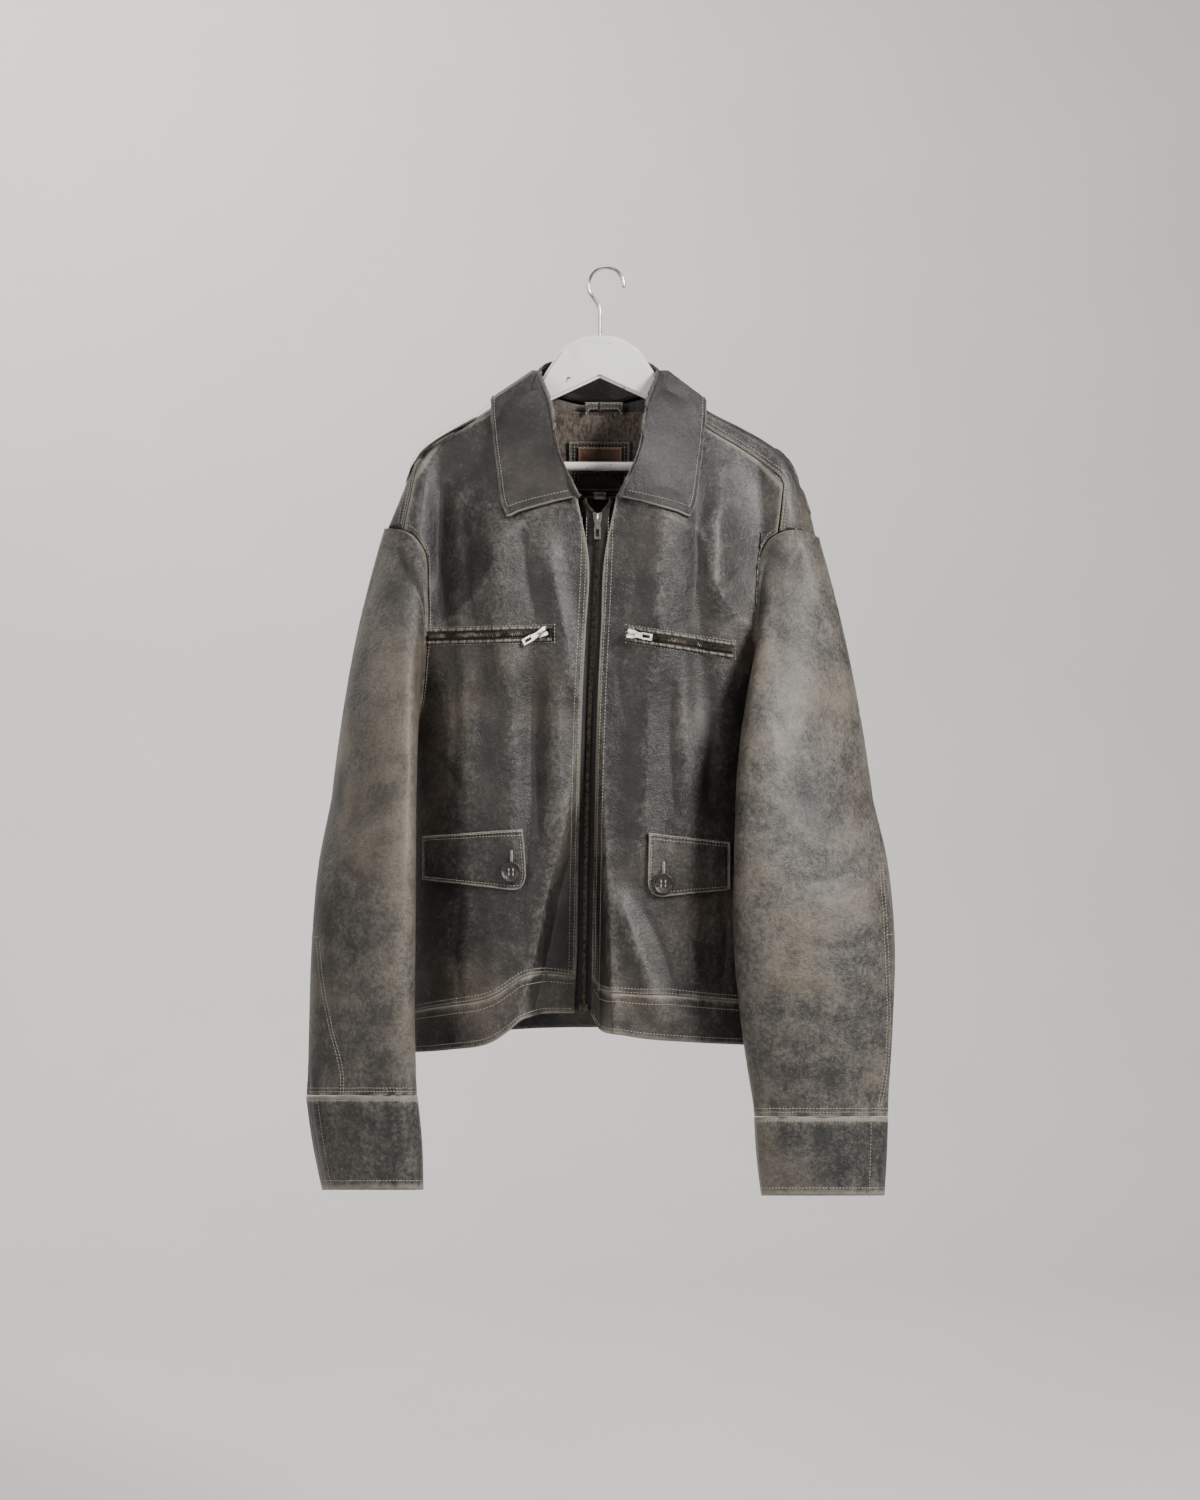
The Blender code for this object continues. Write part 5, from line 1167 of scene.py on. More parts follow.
def boxShape(name, size=(1.0, 1.0, 1.0), bevel=0.12, place=(0, 0, 0)):
    bm = bmesh.new()
    bmesh.ops.create_cube(bm, size=1.0, matrix=Matrix.Translation(place) @ Matrix.Diagonal((*size, 1.0)))
    bmesh.ops.bevel(bm, geom=bm.edges[:], offset=bevel, segments=2, affect="EDGES")
    mesh = bpy.data.meshes.new(name)
    bm.to_mesh(mesh)
    bm.free()
    return bpy.data.objects.new(name, mesh)


stitchShape = unitShape("stitchShape", 6, 3)
toothShape = boxShape("toothShape")


def rowOf(name, paths, shape, look, length, thickness, step, sway, seed, body="jacket"):
    # Repeats one shape along paths of (points, outward directions)
    verts, edges, outward = [], [], []
    for points, directions in paths:
        first = len(verts)
        verts += [tuple(p) for p in points]
        outward += [tuple(d) for d in np.broadcast_to(directions, np.shape(points))]
        edges += [(first + k, first + k + 1) for k in range(len(points) - 1)]
    mesh = bpy.data.meshes.new(name)
    mesh.from_pydata([tuple(map(float, v)) for v in verts], edges, [])
    values = mesh.attributes.new("outward", "FLOAT_VECTOR", "POINT")
    values.data.foreach_set("vector", np.asarray(outward, np.float32).ravel())
    made = bpy.data.objects.new(name, mesh)
    bpy.context.collection.objects.link(made)
    row = made.modifiers.new("row", "NODES")
    row.node_group = rowGroup
    given = {"Length": length, "Thickness": thickness, "Step": step, "Sway": sway, "Seed": seed, "Shape": shape,
             "Look": looks[look]}
    for socket in rowGroup.interface.items_tree:
        if socket.in_out == "INPUT" and socket.name in given:
            row[socket.identifier] = given[socket.name]
    bpy.context.view_layer.update()
    plainMesh(made)
    made.data.materials.clear()
    made.data.materials.append(looks[look])
    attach(made, body)
    return made


def seamOn(line, depth, lift=0.0, step=0.0025, sign=1.0):
    # A path on a surface given by its depth in the front view, with the outward directions
    line = np.asarray(line, float)
    line = line[np.concatenate([[True], np.linalg.norm(np.diff(line, axis=0), axis=1) > 1e-5])]
    length = np.linalg.norm(np.diff(line, axis=0), axis=1).sum()
    flat = along(line, np.linspace(0, 1, max(int(length / step), 3)))
    inner = liftedFine(flat, depth, 0.0, sign)
    outer = liftedFine(flat, depth, 0.001, sign)
    out = (outer - inner) / 0.001
    return inner + out * lift, out


def liftedFine(flat, depth, lift, sign=1.0):
    here = placed(withDepth(flat, depth))
    steps = []
    for step in (np.array([0.0008, 0.0]), np.array([0.0, 0.0008])):
        steps.append(placed(withDepth(flat + step, depth)) - placed(withDepth(flat - step, depth)))
    out = np.cross(*steps) * sign
    out = out / np.linalg.norm(out, axis=-1)[..., None]
    return here + out * lift


def gridPath(grid, out, cells, lift):
    # A path through (row, column) places of a fine grid
    cells = np.asarray(cells, float)
    low = np.floor(cells).astype(int)
    part = cells - low
    rows, columns = grid.shape[:2]
    high = np.minimum(low[:, 0] + 1, rows - 1)
    right = (low[:, 1] + 1) % columns
    left = low[:, 1] % columns

    def read(values):
        a = values[low[:, 0], left] * (1 - part[:, 1:]) + values[low[:, 0], right] * part[:, 1:]
        b = values[high, left] * (1 - part[:, 1:]) + values[high, right] * part[:, 1:]
        return a * (1 - part[:, :1]) + b * part[:, :1]

    return read(grid) + read(out) * lift, read(out)


def threads(name, paths, slot):
    return rowOf(name, paths, stitchShape, "thread", stitching["length"], stitching["thickness"],
                 stitching["step"], 0.10, stitching["seed"])


frontFlats = {side: makeFront(side) for side in fronts}
makeBack()
print("body panels")
sleeves = {"right": makeSleeve("right", sleeveRight, cuffRight), "left": makeSleeve("left", sleeveLeft, cuffLeft)}
print("sleeves")
collarGrid, collarOut = makeCollar()
print("collar")


def layer(name, flat, depth, lift, wall, look, nodes, edge=0.0035, sign=1.0):
    # A piece of cloth laid on a panel: its points moved out, its rim bent down and rubbed
    rows, columns = flat.shape[:2]
    v = np.minimum(np.arange(rows), rows - 1 - np.arange(rows))[:, None] / (rows - 1)
    u = np.minimum(np.arange(columns), columns - 1 - np.arange(columns))[None] / (columns - 1)
    high = np.linalg.norm(flat[0, 0] - flat[-1, 0])
    wide = np.linalg.norm(flat[0, 0] - flat[0, -1])
    near = np.minimum(v * high, u * wide)
    puff = 0.0006 * np.exp(-((near - 0.0008) / 0.0016) ** 2) - 0.0006 * np.exp(-((near - 0.0032) / 0.0011) ** 2)
    points = liftedFine(flat, depth, (lift + wall + puff)[..., None], sign)
    made = piece(name, points, gridFaces(rows, columns, True), look, nodes, wall=wall,
                 wear=(edgeWear(near, edge * 0.5) * 1.2 + 0.1 * np.sin(flat[..., 0] * 300)).ravel())
    return made


def roundedCorners(corners, columns, rows, radius, which):
    # Grid inside four corners, with the lower ones rounded off
    flat = quadGrid(corners, columns, rows)
    for corner in which:
        tip = np.array(corners[corner], float)
        away = np.linalg.norm(flat - tip, axis=-1)
        middle = flat.mean((0, 1))
        pull = np.clip(1 - away / radius, 0, 1) ** 2 * radius * 0.42
        direction = (middle - tip) / np.linalg.norm(middle - tip)
        flat = flat + pull[..., None] * direction
    return flat


flaps = {
    "right": {"corners": flapRight, "button": buttonRight, "tip": 2, "flat": (0.112, 0.062)},
    "left": {"corners": flapLeft, "button": buttonLeft, "tip": 3, "flat": (0.092, 0.062)},
}
button = {"diameter": 0.0220, "height": 0.0042, "holes": 4, "holeSpacing": 0.0050}


def turned(name, profile, place, look, slot, nodes, sides=64):
    here, across, up, out = place
    verts = [here + out * profile[0][1]]
    for radius, rise in profile[1:-1]:
        for k in range(sides):
            angle = 2 * math.pi * k / sides
            verts.append(here + across * radius * math.cos(angle) + up * radius * math.sin(angle) + out * rise)
    verts.append(here + out * profile[-1][1])
    faces = [(0, 1 + (k + 1) % sides, 1 + k) for k in range(sides)]
    for r in range(len(profile) - 3):
        low = 1 + r * sides
        faces += [(low + k, low + (k + 1) % sides, low + sides + (k + 1) % sides, low + sides + k)
                  for k in range(sides)]
    low = 1 + (len(profile) - 3) * sides
    faces += [(low + k, low + (k + 1) % sides, len(verts) - 1) for k in range(sides)]
    return piece(name, verts, faces, look, nodes, wear=[0.0] * len(verts))


def makeButton(side):
    place = surfaceFrame(*flaps[side]["button"], frontOuter)
    here, across, up, out = place
    here = here + out * 0.0050
    radius = button["diameter"] / 2
    high = button["height"]
    profile = [(0, 0), (radius * 0.84, 0.0), (radius * 0.97, high * 0.25), (radius, high * 0.55),
               (radius * 0.985, high * 0.82), (radius * 0.93, high * 0.98), (radius * 0.86, high),
               (radius * 0.80, high * 0.94), (radius * 0.74, high * 0.72), (radius * 0.66, high * 0.62),
               (radius * 0.3, high * 0.58), (0, high * 0.57)]
    made = turned(side + "FlapButton", profile, (here, across, up, out), "horn", "button_horn",
                  [side + "_flap_button"])
    # Painted shade: the button has no real holes, so each hole is a near-black disc with a lip that stands in for the
    # shade inside it
    for k in range(button["holes"]):
        angle = math.pi / 4 + k * math.pi / 2
        at = here + (across * math.cos(angle) + up * math.sin(angle)) * button["holeSpacing"] * 0.62
        rim = [(0, high * 0.50), (0.0012, high * 0.50), (0.0012, high * 0.63), (0.0009, high * 0.66),
               (0.0007, high * 0.60), (0, high * 0.60)]
        turned(f"{side}ButtonHole{k}", rim, (at, across, up, out), "tape", "button_horn", (), 16)
    top = here + out * high * 0.64
    reach = button["holeSpacing"] * 0.44
    paths = []
    for sign in (-1, 1):
        a = top + across * reach * sign - up * reach
        b = top + across * reach * sign + up * reach
        for shift in (-0.0003, 0.0003):
            paths.append((np.array([a + (b - a) * t + across * shift for t in (0, 0.25, 0.5, 0.75, 1)]), out))
    rowOf(side + "ButtonThread", paths, stitchShape, "thread", 0.0040, 0.0007, 0.0030, 0.05, 3)
    return made


def makeFlap(side):
    facts = flaps[side]
    flat = roundedCorners(facts["corners"], 90, 56, 0.020, [facts["tip"]])
    made = layer(side + "PocketFlap", flat, frontOuter, 0.0010, 0.0026, "band",
                 [side + "_pocket_flap"])
    side + "Front"
    turn = 1 if side == "left" else -1
    rim = np.concatenate([flat[2:-4, 3 if side == "left" else -4], flat[-5, 3:-3][::turn]])
    paths = [seamOn(line, frontOuter, 0.0040) for line in (rim, flat[5, 2:-2], flat[2, 2:-2])]
    threads(side + "FlapThread", paths, "band_leather")
    slit = np.array(facts["button"]) + np.array([[0.0, 0.0072], [0.0, 0.0225]])
    rowOf(side + "Buttonhole", [seamOn(slit, frontOuter, 0.0041)], stitchShape, "thread", 0.0010,
          0.0030, 0.0006, 0.06, 5)
    # Painted shade: the flap has no real slit, so a row of near-black capsules along it stands in for the shade in the
    # cut
    slitShadeLine = seamOn(slit + np.array([[0.0, -0.0004], [0.0, 0.0004]]), frontOuter, 0.0052)
    rowOf(side + "ButtonholeSlit", [slitShadeLine], stitchShape, "tape", 0.0014, 0.0007, 0.0008, 0.0, 5)


for side in flaps:
    makeFlap(side)
    makeButton(side)
print("flaps")

# Zips: teeth, sliders and pull tabs
zipParts = {"pitch": 0.0022, "toothLength": 0.0027, "toothWidth": 0.0013}
chestZips = {
    "right": {"line": chestZipRight, "slider": -0.0641, "tilt": -62.0},
    "left": {"line": chestZipLeft, "slider": 0.0305, "tilt": 80.0},
}


def oriented(verts, place):
    here, across, up, out = place
    verts = np.asarray(verts, float)
    return here + verts[:, :1] * across + verts[:, 1:2] * up + verts[:, 2:3] * out


def solidPiece(name, bm, place, look, nodes, body):
    bmesh.ops.recalc_face_normals(bm, faces=bm.faces[:])
    verts = oriented([v.co[:] for v in bm.verts], place)
    bm.verts.index_update()
    faces = [tuple(v.index for v in f.verts) for f in bm.faces]
    bm.free()
    return piece(name, verts, faces, look, nodes, body, smooth=False)


def plate(outline, low, high, bevel):
    # A bevelled plate from an outline in (across, up), between two heights
    bm = bmesh.new()
    face = bm.faces.new([bm.verts.new((x, y, low)) for x, y in outline])
    moved = bmesh.ops.extrude_face_region(bm, geom=[face])["geom"]
    bmesh.ops.translate(bm, vec=(0, 0, high - low), verts=[v for v in moved if isinstance(v, bmesh.types.BMVert)])
    bmesh.ops.recalc_face_normals(bm, faces=bm.faces[:])
    if bevel:
        bmesh.ops.bevel(bm, geom=bm.edges[:], offset=bevel, segments=2, affect="EDGES")
    return bm


def turnedPlace(place, degrees):
    here, across, up, out = place
    turn = Matrix.Rotation(math.radians(degrees), 3, Vector(out))
    return here, np.array(turn @ Vector(across)), np.array(turn @ Vector(up)), out


def ringPlate(width, top, low, thick, hole):
    # A flat tab with a slot, as one bevelled six-sided frame around a six-sided hole
    bm = bmesh.new()
    w, (hx, hy0, hy1) = width / 2, hole
    outer = [(-w * 0.62, top), (w * 0.62, top), (w, low * 0.45), (w * 0.96, low), (-w * 0.96, low), (-w, low * 0.45)]
    inner = [(-hx, hy1), (hx, hy1), (hx, (hy0 + hy1) / 2), (hx, hy0), (-hx, hy0), (-hx, (hy0 + hy1) / 2)]
    for z in (-thick / 2, thick / 2):
        for x, y in outer + inner:
            bm.verts.new((x, y, z))
    bm.verts.ensure_lookup_table()
    v = bm.verts
    for k in range(6):
        n = (k + 1) % 6
        bm.faces.new((v[k], v[n], v[6 + n], v[6 + k]))
        bm.faces.new((v[12 + k], v[18 + k], v[18 + n], v[12 + n]))
        bm.faces.new((v[k], v[12 + k], v[12 + n], v[n]))
        bm.faces.new((v[6 + k], v[6 + n], v[18 + n], v[18 + k]))
    bmesh.ops.recalc_face_normals(bm, faces=bm.faces[:])
    bmesh.ops.bevel(bm, geom=bm.edges[:], offset=0.00028, segments=2, affect="EDGES")
    return bm


def sliderAndPull(prefix, nodes, place, body):
    width, thick, length = 0.0095, 0.0050, 0.0120
    outline = [(-width * 0.5, length * 0.5), (-width * 0.16, length * 0.5), (0, length * 0.34),
               (width * 0.16, length * 0.5), (width * 0.5, length * 0.5), (width * 0.46, 0.0), (width * 0.30, -length * 0.5),
               (-width * 0.30, -length * 0.5), (-width * 0.46, 0.0)]
    top = plate(outline, thick * 0.52, thick * 0.76, 0.0004)
    solidPiece(prefix + "SliderTop", top, place, "nickel", [nodes[0]], "jacket")
    solidPiece(prefix + "SliderBase", plate(outline, -0.0002, thick * 0.14, 0.0003), place, "nickel", (), "jacket")
    post = plate([(-0.0012, 0.0042), (0.0012, 0.0042), (0.0008, 0.0), (-0.0008, 0.0)], thick * 0.1, thick * 0.56, 0.0002)
    solidPiece(prefix + "SliderPost", post, place, "nickel", (), "jacket")
    path = [(0.0, 0.0046, thick * 0.74), (0.0, 0.0040, thick + 0.0005), (0.0, 0.0015, thick + 0.0013),
            (0.0, -0.0018, thick + 0.0014), (0.0, -0.0038, thick + 0.0006), (0.0, -0.0044, thick * 0.74)]
    wire(prefix + "SliderBridge", oriented(along(path, np.linspace(0, 1, 22)), place), 0.0016, "nickel", (), "jacket", 12)
    here, across, up, out = place
    pivot = here + out * (thick + 0.0001) - up * 0.0028
    tab = ringPlate(0.0070, 0.0008, -0.0190, 0.0014, (0.0016, -0.0164, -0.0086))
    solidPiece(prefix + "PullTab", tab, (pivot, across, up, out), "nickel", [nodes[1]], body)
    rivet = plate([(0.0008 * math.cos(a), 0.0008 * math.sin(a)) for a in np.linspace(0, 2 * math.pi, 13)[:-1]],
                  -0.0010, 0.0010, 0.0001)
    solidPiece(prefix + "PullRivet", rivet, (pivot - up * 0.0024, across, up, out), "nickel", (), body)


def wire(name, points, diameter, look, nodes, body, sides=24):
    points = np.asarray(points, float)
    tangents = np.gradient(points, axis=0)
    tangents = tangents / np.linalg.norm(tangents, axis=1)[:, None]
    normal = np.cross(tangents[0], (0.31, 0.95, 0.11))
    verts = []
    count = len(points)
    for k, (point, tangent) in enumerate(zip(points, tangents)):
        normal = normal - tangent * np.dot(normal, tangent)
        normal = normal / np.linalg.norm(normal)
        side = np.cross(tangent, normal)
        radius = diameter / 2 * min(1.0, 0.55 + 0.45 * min(k, count - 1 - k))
        angles = 2 * math.pi * np.arange(sides) / sides
        verts += list(point + radius * (np.cos(angles)[:, None] * normal + np.sin(angles)[:, None] * side))
    faces = gridFaces(count, sides, ring=True)
    faces.append(tuple(range(sides))[::-1])
    faces.append(tuple((count - 1) * sides + k for k in range(sides)))
    return piece(name, verts, faces, look, nodes, body)


def teethRows(name, lines):
    # Two rows of teeth that mesh along each line of (points, outward), half a pitch apart
    paths = []
    for points, out, apart in lines:
        tangent = np.gradient(points, axis=0)
        tangent = tangent / np.linalg.norm(tangent, axis=1)[:, None]
        beside = np.cross(tangent, out)
        for sign in (-1, 1):
            shifted = points + beside * (sign * (zipParts["toothLength"] * 0.33 + apart))[..., None]
            if sign > 0:
                shifted = shifted + tangent * zipParts["pitch"] / 2
            paths.append((shifted, out))
    return rowOf(name, paths, toothShape, "brass", zipParts["toothWidth"], zipParts["toothLength"],
                 zipParts["pitch"], 0.05, 11)


def centreZip():
    sliderZ = zipSplitZ + 0.0070
    for side, sign in (("right", -1), ("left", 1)):
        heights = np.concatenate([np.linspace(zipTopZ, sliderZ, 16), np.linspace(sliderZ - 0.003, zipBottomZ, 150)])
        line = valueAt(zipLine, heights)
        apart = 0.0115 * smoothStep((heights - sliderZ) / 0.020)
        near = line + sign * (0.0004 + apart)
        far = line + sign * (zipHalf + 0.0045)
        far = np.where(sign * (far - near) < 0.004, near + sign * 0.004, far)
        flat = np.array([[(a + (b - a) * u, z) for u in np.linspace(0, 1, 7)] for a, b, z in zip(near, far, heights)])
        if sign < 0:
            flat = flat[:, ::-1]
        points = liftedFine(flat, frontY, -0.0034)
        made = piece(side + "ZipTape", points, gridFaces(len(heights), 7, True), "tape",
                     [side + "_zip_tape"], wall=0.0009)
    closed = np.linspace(zipSplitZ, zipBottomZ + 0.0040, 260)
    flat = np.stack([valueAt(zipLine, closed), closed], -1)
    middle, out = seamOn(flat, frontY, -0.0016)
    lines = [(middle, out, np.zeros(len(middle)))]
    openZ = np.linspace(zipTopZ + 0.001, sliderZ + 0.0045, 16)
    for sign in (-1, 1):
        apart = 0.0115 * smoothStep((openZ - sliderZ) / 0.020)
        flat = np.stack([valueAt(zipLine, openZ) + sign * (0.0012 + apart), openZ], -1)
        points = liftedFine(flat, frontY, -0.0018)
        beyond = liftedFine(flat, frontY, -0.0008)
        lines.append((points, (beyond - points) / 0.001, np.full(len(points), -zipParts["toothLength"] * 0.33)))
    made = teethRows("zipTeeth", lines)
    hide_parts("zip_chain")
    place = surfaceFrame(float(valueAt(zipLine, sliderZ)), sliderZ, frontY)
    here, across, up, out = place
    sliderAndPull("zip", ("zip_slider", "zip_pull"), (here - out * 0.0012, across, up, out), "zip_pull_tab")
    stop = plate([(-0.0045, 0.004), (0.0045, 0.004), (0.0045, -0.004), (-0.0045, -0.004)], -0.0016, 0.0014, 0.0005)
    place = surfaceFrame(float(valueAt(zipLine, zipBottomZ + 0.003)), zipBottomZ + 0.003, frontY)
    solidPiece("zipStop", stop, (place[0] - place[3] * 0.0016, *place[1:]), "brass", (), "jacket")


def chestZip(side):
    facts = chestZips[side]
    (ax, az), (bx, bz) = facts["line"]
    t = (facts["slider"] - ax) / (bx - ax)
    z = az + t * (bz - az)
    tape = layer(side + "ChestTape", stripGrid(facts["line"], 0.0054, 120, 8), frontOuter, 0.0004, 0.0009, "tape",
                 [side + "_chest_tape"])
    side + "Front"
    for name, sign in (("UpperWelt", 1), ("LowerWelt", -1)):
        line = ((ax - 0.001, az + sign * 0.0064), (bx + 0.001, bz + sign * 0.0064))
        flat = stripGrid(line, 0.0019, 260, 9)
        share = np.linspace(-1, 1, 9)[:, None]
        swell = 0.0013 * np.sqrt(np.clip(1 - share**2, 0, 1))
        wavy = 0.00035 * np.sin(flat[..., 0] * 700 + sign) + 0.0003 * np.sin(flat[..., 0] * 1510 + 2 * sign)
        points = liftedFine(flat, frontOuter, (0.0016 + swell + wavy)[..., None])
        made = piece(side + "Chest" + name, points, gridFaces(9, 260, True), "body", (), wall=0.0014,
                     wear=(0.75 * np.sqrt(np.clip(1 - share**2, 0, 1)) + wavy * 600).ravel())
        side + "Front"
    if side == "right":
        chain = ((ax + 0.002, az), (facts["slider"] - 0.0040, z))
    else:
        chain = ((facts["slider"] + 0.0040, z - 0.0008), (bx - 0.002, bz + 0.0003))
    middle, out = seamOn(np.array(chain), frontOuter, 0.0026)
    teeth = teethRows(side + "ChestTeeth", [(middle, out, np.zeros(len(middle)))])
    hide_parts(side + "_chest_chain")
    here, across, up, out = surfaceFrame(facts["slider"], z, frontY)
    place = turnedPlace((here + out * 0.0070 - out * 0.0012, across, up, out), facts["tilt"])
    sliderAndPull(side + "Chest", (side + "_chest_slider", side + "_chest_pull"), place,
                  side + "_chest_pull_tab")
    paths = []
    for sign in (-1, 1):
        line = [(ax - 0.003, az + sign * 0.0092), (bx + 0.003, bz + sign * 0.0092)]
        paths.append(seamOn(line, frontOuter, 0.0002))
    paths.append(seamOn([(ax - 0.003, az - 0.0092), (ax - 0.003, az + 0.0092)], frontOuter, 0.0002))
    paths.append(seamOn([(bx + 0.003, bz - 0.0092), (bx + 0.003, bz + 0.0092)], frontOuter, 0.0002))
    threads(side + "ChestThread", paths, "body_leather")


centreZip()
for side in chestZips:
    chestZip(side)
print("zips")


def inner(x, z):
    return backY(x, z) - leather


def boxed(box, columns, rows):
    x0, x1, z0, z1 = box
    return quadGrid(((x0, z1), (x1, z1), (x1, z0), (x0, z0)), columns, rows)


def inset(box, distance):
    x0, x1, z0, z1 = box
    return [(x0 + distance, z0 + distance), (x1 - distance, z0 + distance), (x1 - distance, z1 - distance),
            (x0 + distance, z1 - distance), (x0 + distance, z0 + distance)]


def straightSeam(line, depth, lift):
    paths = [seamOn([a, b], depth, lift) for a, b in zip(line, line[1:])]
    return paths


facing = layer("neckFacing", boxed((hangerX - 0.058, hangerX + 0.058, -0.262, -0.150), 90, 70), inner, 0.0030, 0.0012,
               "facing", ["neck_facing"])
frameMade = layer("labelFrame", boxed(labelFrame, 60, 50), inner, 0.0054, 0.0014, "collar",
                  ["label_frame"])
plateMade = layer("labelPlate", boxed(labelPlate, 40, 20), inner, 0.0074, 0.0012, "plate",
                  ["label_plate"])
labelMade = layer("sewnLabel", boxed(sewnLabel, 40, 24), inner, 0.0078, 0.0008, "label", ["sewn_label"])
tagMade = layer("sizeTag", boxed(sizeTag, 16, 12), inner, 0.0078, 0.0006, "tag", ["size_tag"])
labelPaths = straightSeam(inset(labelFrame, 0.0022), inner, 0.0072) + straightSeam(inset(labelFrame, 0.0056), inner, 0.0072)
labelPaths += straightSeam(inset(labelPlate, 0.0016), inner, 0.0088) + straightSeam(inset(sewnLabel, 0.0014), inner, 0.0088)
threads("labelThread", labelPaths, "collar_leather")
loopX = hangerX + 0.004
loopColumns = loopX + 0.042 * (np.linspace(0, 1, 80) - 0.5)
loopRows = []
for share in np.linspace(0, 1, 14):
    drop = np.clip((np.abs(loopColumns - loopX) - 0.0155) / 0.0055, 0, 1)
    z = -0.1400 - 0.0075 * share - 0.0070 * share * smoothStep(drop)
    loopRows.append(np.stack([loopColumns, z], -1))
loopGrid = liftedFine(np.array(loopRows), inner, 0.0095 + 0.0006 * np.sin(np.linspace(0, 3.14, 14))[:, None, None])
loopMade = piece("hangerLoop", loopGrid, gridFaces(14, 80, True), "collar", ["hanger_loop"],
                 wall=0.0018, wear=(0.9 * edgeWear(np.minimum(np.linspace(0, 1, 14), np.linspace(1, 0, 14)) * 0.0075,
                                                   0.0012)[:, None] + np.zeros((14, 80))).ravel())
loopOut = gridNormals(loopGrid)
loopOut = -loopOut if loopOut[6, 40][1] > 0 else loopOut
threads("loopThread", [gridPath(loopGrid, loopOut, [(r, c) for c in np.linspace(2, 77, 40)], 0.0001)
                       for r in (2.5, 10.5)], "collar_leather")
print("neck")

# Seams: rows of thread on panels, sleeves, cuffs and collar
for side in fronts:
    flat, low = frontFlats[side]
    sign = fronts[side]["sign"]
    paths = []
    for away in (0.0036, 0.0084):
        heights = np.linspace(-0.262, -0.776, 160)
        line = np.stack([valueAt(zipLine, heights) + sign * (zipHalf + away), heights], -1)
        paths.append(seamOn(line, frontOuter, 0.0002))
    for share in (0.004, 0.013):
        row = np.array([flat[0, c] + (flat[30, c] - flat[0, c]) * share * 4 for c in range(3, flat.shape[1] - 4, 2)])
        paths.append(seamOn(row, frontOuter, 0.0002))
    armhole = flat[8:-10:4, -1] + (flat[8:-10:4, -6] - flat[8:-10:4, -1]) * 0.55
    paths.append(seamOn(armhole, frontOuter, 0.0002))
    threads(side + "FrontThread", paths, "body_leather")
    bandPaths = [seamOn(low[12, 3:-4:2], frontOuter, 0.0009), seamOn(low[2, 3:-4:2], frontOuter, 0.0009)]
    threads(side + "BandThread", bandPaths, "band_leather")
stripPaths = []
for seam in (shoulderSeamRight, shoulderSeamLeft):
    line = along(seam, np.linspace(0.06, 0.97, 60))
    for rise in (0.0026, 0.0060):
        direction = np.gradient(line, axis=0)
        direction = direction / np.linalg.norm(direction, axis=1)[:, None]
        beside = np.stack([-direction[:, 1], direction[:, 0]], -1)
        beside = beside * np.sign(beside[:, 1:2] + 1e-6) if seam is shoulderSeamRight else beside
        outward = np.where((beside @ np.array([0.2 * np.sign(line[0, 0]), 1.0])) < 0, -1, 1)[:, None]
        stripPaths.append(seamOn(line + beside * outward * rise, frontOuter, 0.0002))
threads("shoulderThread", stripPaths, "body_leather")
# Seams that show on the sleeves: the back seam above the cuff and the dart at the elbow
sleeveSeams = {
    "right": (((-0.3024, -0.7077), (-0.2993, -0.7423), (-0.2898, -0.7938), (-0.2772, -0.8505), (-0.2772, -0.8660)),
              ((-0.3098, -0.7014), (-0.3024, -0.7014))),
    "left": (((0.2888, -0.6247), (0.2940, -0.7003), (0.2919, -0.8547), (0.2877, -0.8778)),
             ((0.2951, -0.6993), (0.3035, -0.6982))),
}


def sleeveCells(rings, out, points):
    # The (row, column) places of a sleeve's grid that the front view shows at the given points
    view = seen(rings)
    heights = view[..., 2].mean(1)
    cells = []
    for x, z in points:
        row = int(np.argmin(np.abs(heights - z)))
        facing = np.nonzero(out[row, :, 1] < -0.02)[0]
        column = facing[np.argmin(np.abs(view[row, facing, 0] - x))]
        slope = view[row, (column + 1) % len(out[row]), 0] - view[row, column, 0]
        shift = np.clip((x - view[row, column, 0]) / slope, -0.9, 0.9) if abs(slope) > 1e-5 else 0.0
        step = heights[row - 1] - heights[row] if row else 1.0
        up = np.clip((heights[row] - z) / max(abs(step), 1e-5), -0.9, 0.9)
        cells.append((np.clip(row + up, 0, len(rings) - 2), column + shift))
    return cells


for side, (rings, out, cuff, cuffOut) in sleeves.items():
    rows, count = rings.shape[:2]
    paths = []
    for seamColumn in (count // 2 + 45, count // 2):
        for shift in (0.9, 2.0):
            paths.append(gridPath(rings, out, [(r, seamColumn + shift) for r in np.linspace(4, rows - 2, 260)], 0.0002))
    for line in sleeveSeams[side]:
        points = along(line, np.linspace(0, 1, 120))
        for apart in (-0.0016, 0.0016) if len(line) > 2 else (0.0,):
            cells = sleeveCells(rings, out, points + np.array([apart, 0.0]))
            paths.append(gridPath(rings, out, cells, 0.0002))
    for back in (1.4, 2.6):
        paths.append(gridPath(rings, out, [(rows - 1 - back * 0.8, c) for c in np.linspace(0, count - 0.01, 200)], 0.0002))
    threads(side + "SleeveThread", paths, "sleeve_leather")
    cuffPaths = [gridPath(cuff, cuffOut, [(r, c) for c in np.linspace(0, count - 0.01, 200)], 0.0002)
                 for r in (1.2, 22.5)]
    cuffPaths.append(gridPath(cuff, cuffOut, [(r, 12.0) for r in np.linspace(1, 25, 30)], 0.0002))
    threads(side + "CuffThread", cuffPaths, "band_leather")
edgeRow = collarGrid.shape[0] - 1 - 3.4
collarCells = [(r, 4.0) for r in np.linspace(20, edgeRow, 24)]
collarCells += [(edgeRow, c) for c in np.linspace(4, 236, 260)]
collarCells += [(r, 236.0) for r in np.linspace(edgeRow, 20, 24)]
